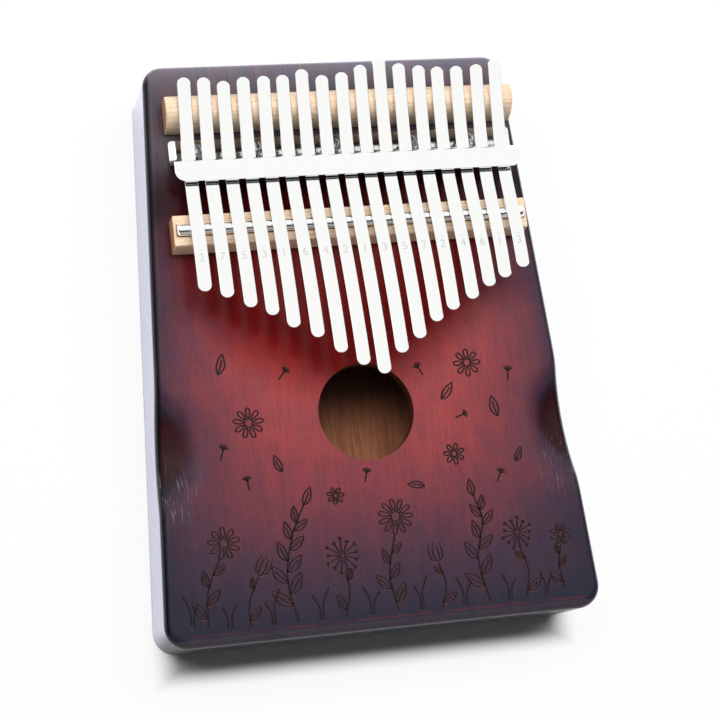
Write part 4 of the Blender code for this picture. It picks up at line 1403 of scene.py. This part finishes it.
class KALIMBA_OT_ornament(Operator):
    """Engrave a meadow with drifting blossoms into the soundboard"""

    bl_idname = "kalimba.ornament"
    bl_label = "Engraved ornament"

    def execute(self, context):
        strokes = ornament_strokes()
        line = stroke_mesh(strokes, half_wide=0.27 * MM, thick=0.04 * MM, offset=0)
        lines = new_object("engraved_meadow", line)
        dress(lines, (BURNT,), smooth=False)
        # A painted highlight: a thinner pale ribbon along each line's lower side, where the groove's edge
        # would catch light from above
        edge = stroke_mesh(strokes, half_wide=0.14 * MM, thick=0.02 * MM, offset=-0.22 * MM)
        edges = new_object("engraved_meadow_edges", edge)
        dress(edges, (BURNT_HIGHLIGHT,), smooth=False)
        return {"FINISHED"}


# Stage


def light_room(stage):
    """A white room lit from above and behind: its front and its walls near the floor stay dark. The gloss
    shows it brighter, with a dark band low in front and a bright card high on the left."""
    world = bpy.data.worlds.new("white room")
    world.use_nodes = True
    bpy.context.scene.world = world
    tree = world.node_tree
    tree.nodes.clear()
    path = node(tree, "ShaderNodeLightPath").outputs
    direction = node(tree, "ShaderNodeTexCoord").outputs["Generated"]
    x, y, z = node(tree, "ShaderNodeSeparateXYZ", {0: direction}).outputs
    lit = node(tree, "ShaderNodeMath", {0: y, 1: z}, operation="ADD")
    walls = ((0.40, grey(0.02)), (0.80, grey(1.0)), (0.6, grey(0.30)))
    walls = node(tree, "ShaderNodeValToRGB", {0: lit}, stops=walls)
    # In the gloss the far front is lit a little, above a dark band
    shifted = node(tree, "ShaderNodeMath", {0: lit, 1: 0.4, 2: 0.4}, operation="MULTIPLY_ADD")
    bands = ((0.24, 0.40), (0.72, 1.0), (0.38, 0.10), (0.56, 0.05), (0.64, 0.35))
    bands = [(height, grey(brightness)) for height, brightness in bands]
    mirrored = node(tree, "ShaderNodeValToRGB", {0: shifted}, stops=bands)
    leftward = node(tree, "ShaderNodeMapRange", {0: x, 1: -0.20, 2: -0.04, 3: 1.0, 4: 0.0})
    high = node(tree, "ShaderNodeMapRange", {0: z, 1: 0.74, 2: 0.84})
    level = node(tree, "ShaderNodeMapRange", {0: y, 1: 0.10, 2: 0.16})
    card = node(tree, "ShaderNodeMath", {0: leftward, 1: high}, operation="MULTIPLY")
    card = node(tree, "ShaderNodeMath", {0: card, 1: level}, operation="MULTIPLY")
    strength = {0: card, 1: stage.mirrored_card, 2: stage.mirrored_room}
    strength = node(tree, "ShaderNodeMath", strength, operation="MULTIPLY_ADD")
    soft = node(tree, "ShaderNodeBackground", {0: walls, 1: stage.ceiling})
    shown = node(tree, "ShaderNodeBackground", {0: mirrored, 1: strength})
    white = node(tree, "ShaderNodeBackground", {0: (1, 1, 1, 1), 1: 1.0})
    seen = node(tree, "ShaderNodeMixShader", {0: path["Is Glossy Ray"], 1: soft, 2: shown})
    through = {0: path["Is Camera Ray"], 1: path["Is Transmission Ray"]}
    through = node(tree, "ShaderNodeMath", through, operation="MAXIMUM")
    both = node(tree, "ShaderNodeMixShader", {0: through, 1: seen, 2: white})
    node(tree, "ShaderNodeOutputWorld", {0: both})


def softbox(name, place, aim, wide, high, power):
    """A soft lamp that lights matt surfaces and isn't mirrored in glossy ones."""
    lamp = bpy.data.lights.new(name, "AREA")
    lamp.shape = "RECTANGLE"
    lamp.size = wide
    lamp.size_y = high
    lamp.energy = power
    made = bpy.data.objects.new(name, lamp)
    bpy.context.scene.collection.objects.link(made)
    made.location = place
    made.rotation_euler = (Vector(aim) - Vector(place)).to_track_quat("-Z", "Y").to_euler()
    made.visible_glossy = False


class KALIMBA_OT_stage(Operator):
    """Set up the floor, the room, the softboxes and the camera"""

    bl_idname = "kalimba.stage"
    bl_label = "Stage"

    def execute(self, context):
        stage = context.scene.kalimba_stage
        half = stage.floor_size / 2

        def build(shape):
            bmesh.ops.create_grid(shape, x_segments=1, y_segments=1, size=half)
            bmesh.ops.translate(shape, verts=shape.verts, vec=(0, 0, PANEL_LOW.z - FLOOR_GAP))

        floor = new_object("floor", mesh_of(build))
        floor.data.materials.append(material(FLOOR))
        light_room(stage)
        softbox("overhead softbox", (0, 0.42, 1.15), (0, 0, 0), wide=1.8, high=0.6, power=stage.back_light)
        low, aim = (0, -1.2, 0.17), (0, 0, BOARD)
        softbox("low front softbox", low, aim, wide=0.8, high=0.3, power=stage.front_light)

        camera = bpy.data.cameras.new("camera")
        camera.lens = stage.lens
        camera.sensor_width = 36
        camera.clip_start = 0.01
        view = bpy.data.objects.new("camera", camera)
        context.scene.collection.objects.link(view)
        right, up = Vector(CAMERA_RIGHT), Vector(CAMERA_UP)
        turn = Matrix((right, up, right.cross(up))).transposed().to_4x4()
        view.matrix_world = Matrix.Translation(CAMERA_PLACE) @ turn
        context.scene.camera = view
        context.scene.view_settings.view_transform = "Standard"
        return {"FINISHED"}


class KALIMBA_PT_panel(Panel):
    """Lists the pieces of the kalimba"""

    bl_idname = "KALIMBA_PT_panel"
    bl_label = "Kalimba"
    bl_space_type = "VIEW_3D"
    bl_region_type = "UI"
    bl_category = "Kalimba"

    def draw(self, context):
        for made in OPERATORS:
            self.layout.operator(made.bl_idname)
        for group in GROUPS:
            values = getattr(context.scene, group)
            box = self.layout.box()
            for name in values.__annotations__:
                box.prop(values, name)


GROUPS = {
    "kalimba_body": KalimbaBody,
    "kalimba_tines": KalimbaTines,
    "kalimba_fittings": KalimbaFittings,
    "kalimba_colours": KalimbaColours,
    "kalimba_stage": KalimbaStage,
}

OPERATORS = (
    KALIMBA_OT_body,
    KALIMBA_OT_back,
    KALIMBA_OT_rear_bridge,
    KALIMBA_OT_front_bridge,
    KALIMBA_OT_rod,
    KALIMBA_OT_bracket,
    KALIMBA_OT_screws,
    KALIMBA_OT_tines,
    KALIMBA_OT_ornament,
    KALIMBA_OT_stage,
)


def register():
    for made in (*GROUPS.values(), *OPERATORS, KALIMBA_PT_panel):
        bpy.utils.register_class(made)
    for name, made in GROUPS.items():
        setattr(bpy.types.Scene, name, PointerProperty(type=made))


def unregister():
    for name in GROUPS:
        delattr(bpy.types.Scene, name)
    for made in reversed((*GROUPS.values(), *OPERATORS, KALIMBA_PT_panel)):
        bpy.utils.unregister_class(made)


def main():
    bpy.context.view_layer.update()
    register()
    bpy.ops.kalimba.body()
    bpy.ops.kalimba.back()
    bpy.ops.kalimba.rear_bridge()
    bpy.ops.kalimba.front_bridge()
    bpy.ops.kalimba.rod()
    bpy.ops.kalimba.bracket()
    bpy.ops.kalimba.screws()
    bpy.ops.kalimba.tines()
    bpy.ops.kalimba.ornament()
    bpy.ops.kalimba.stage()


if __name__ == "__main__":
    main()
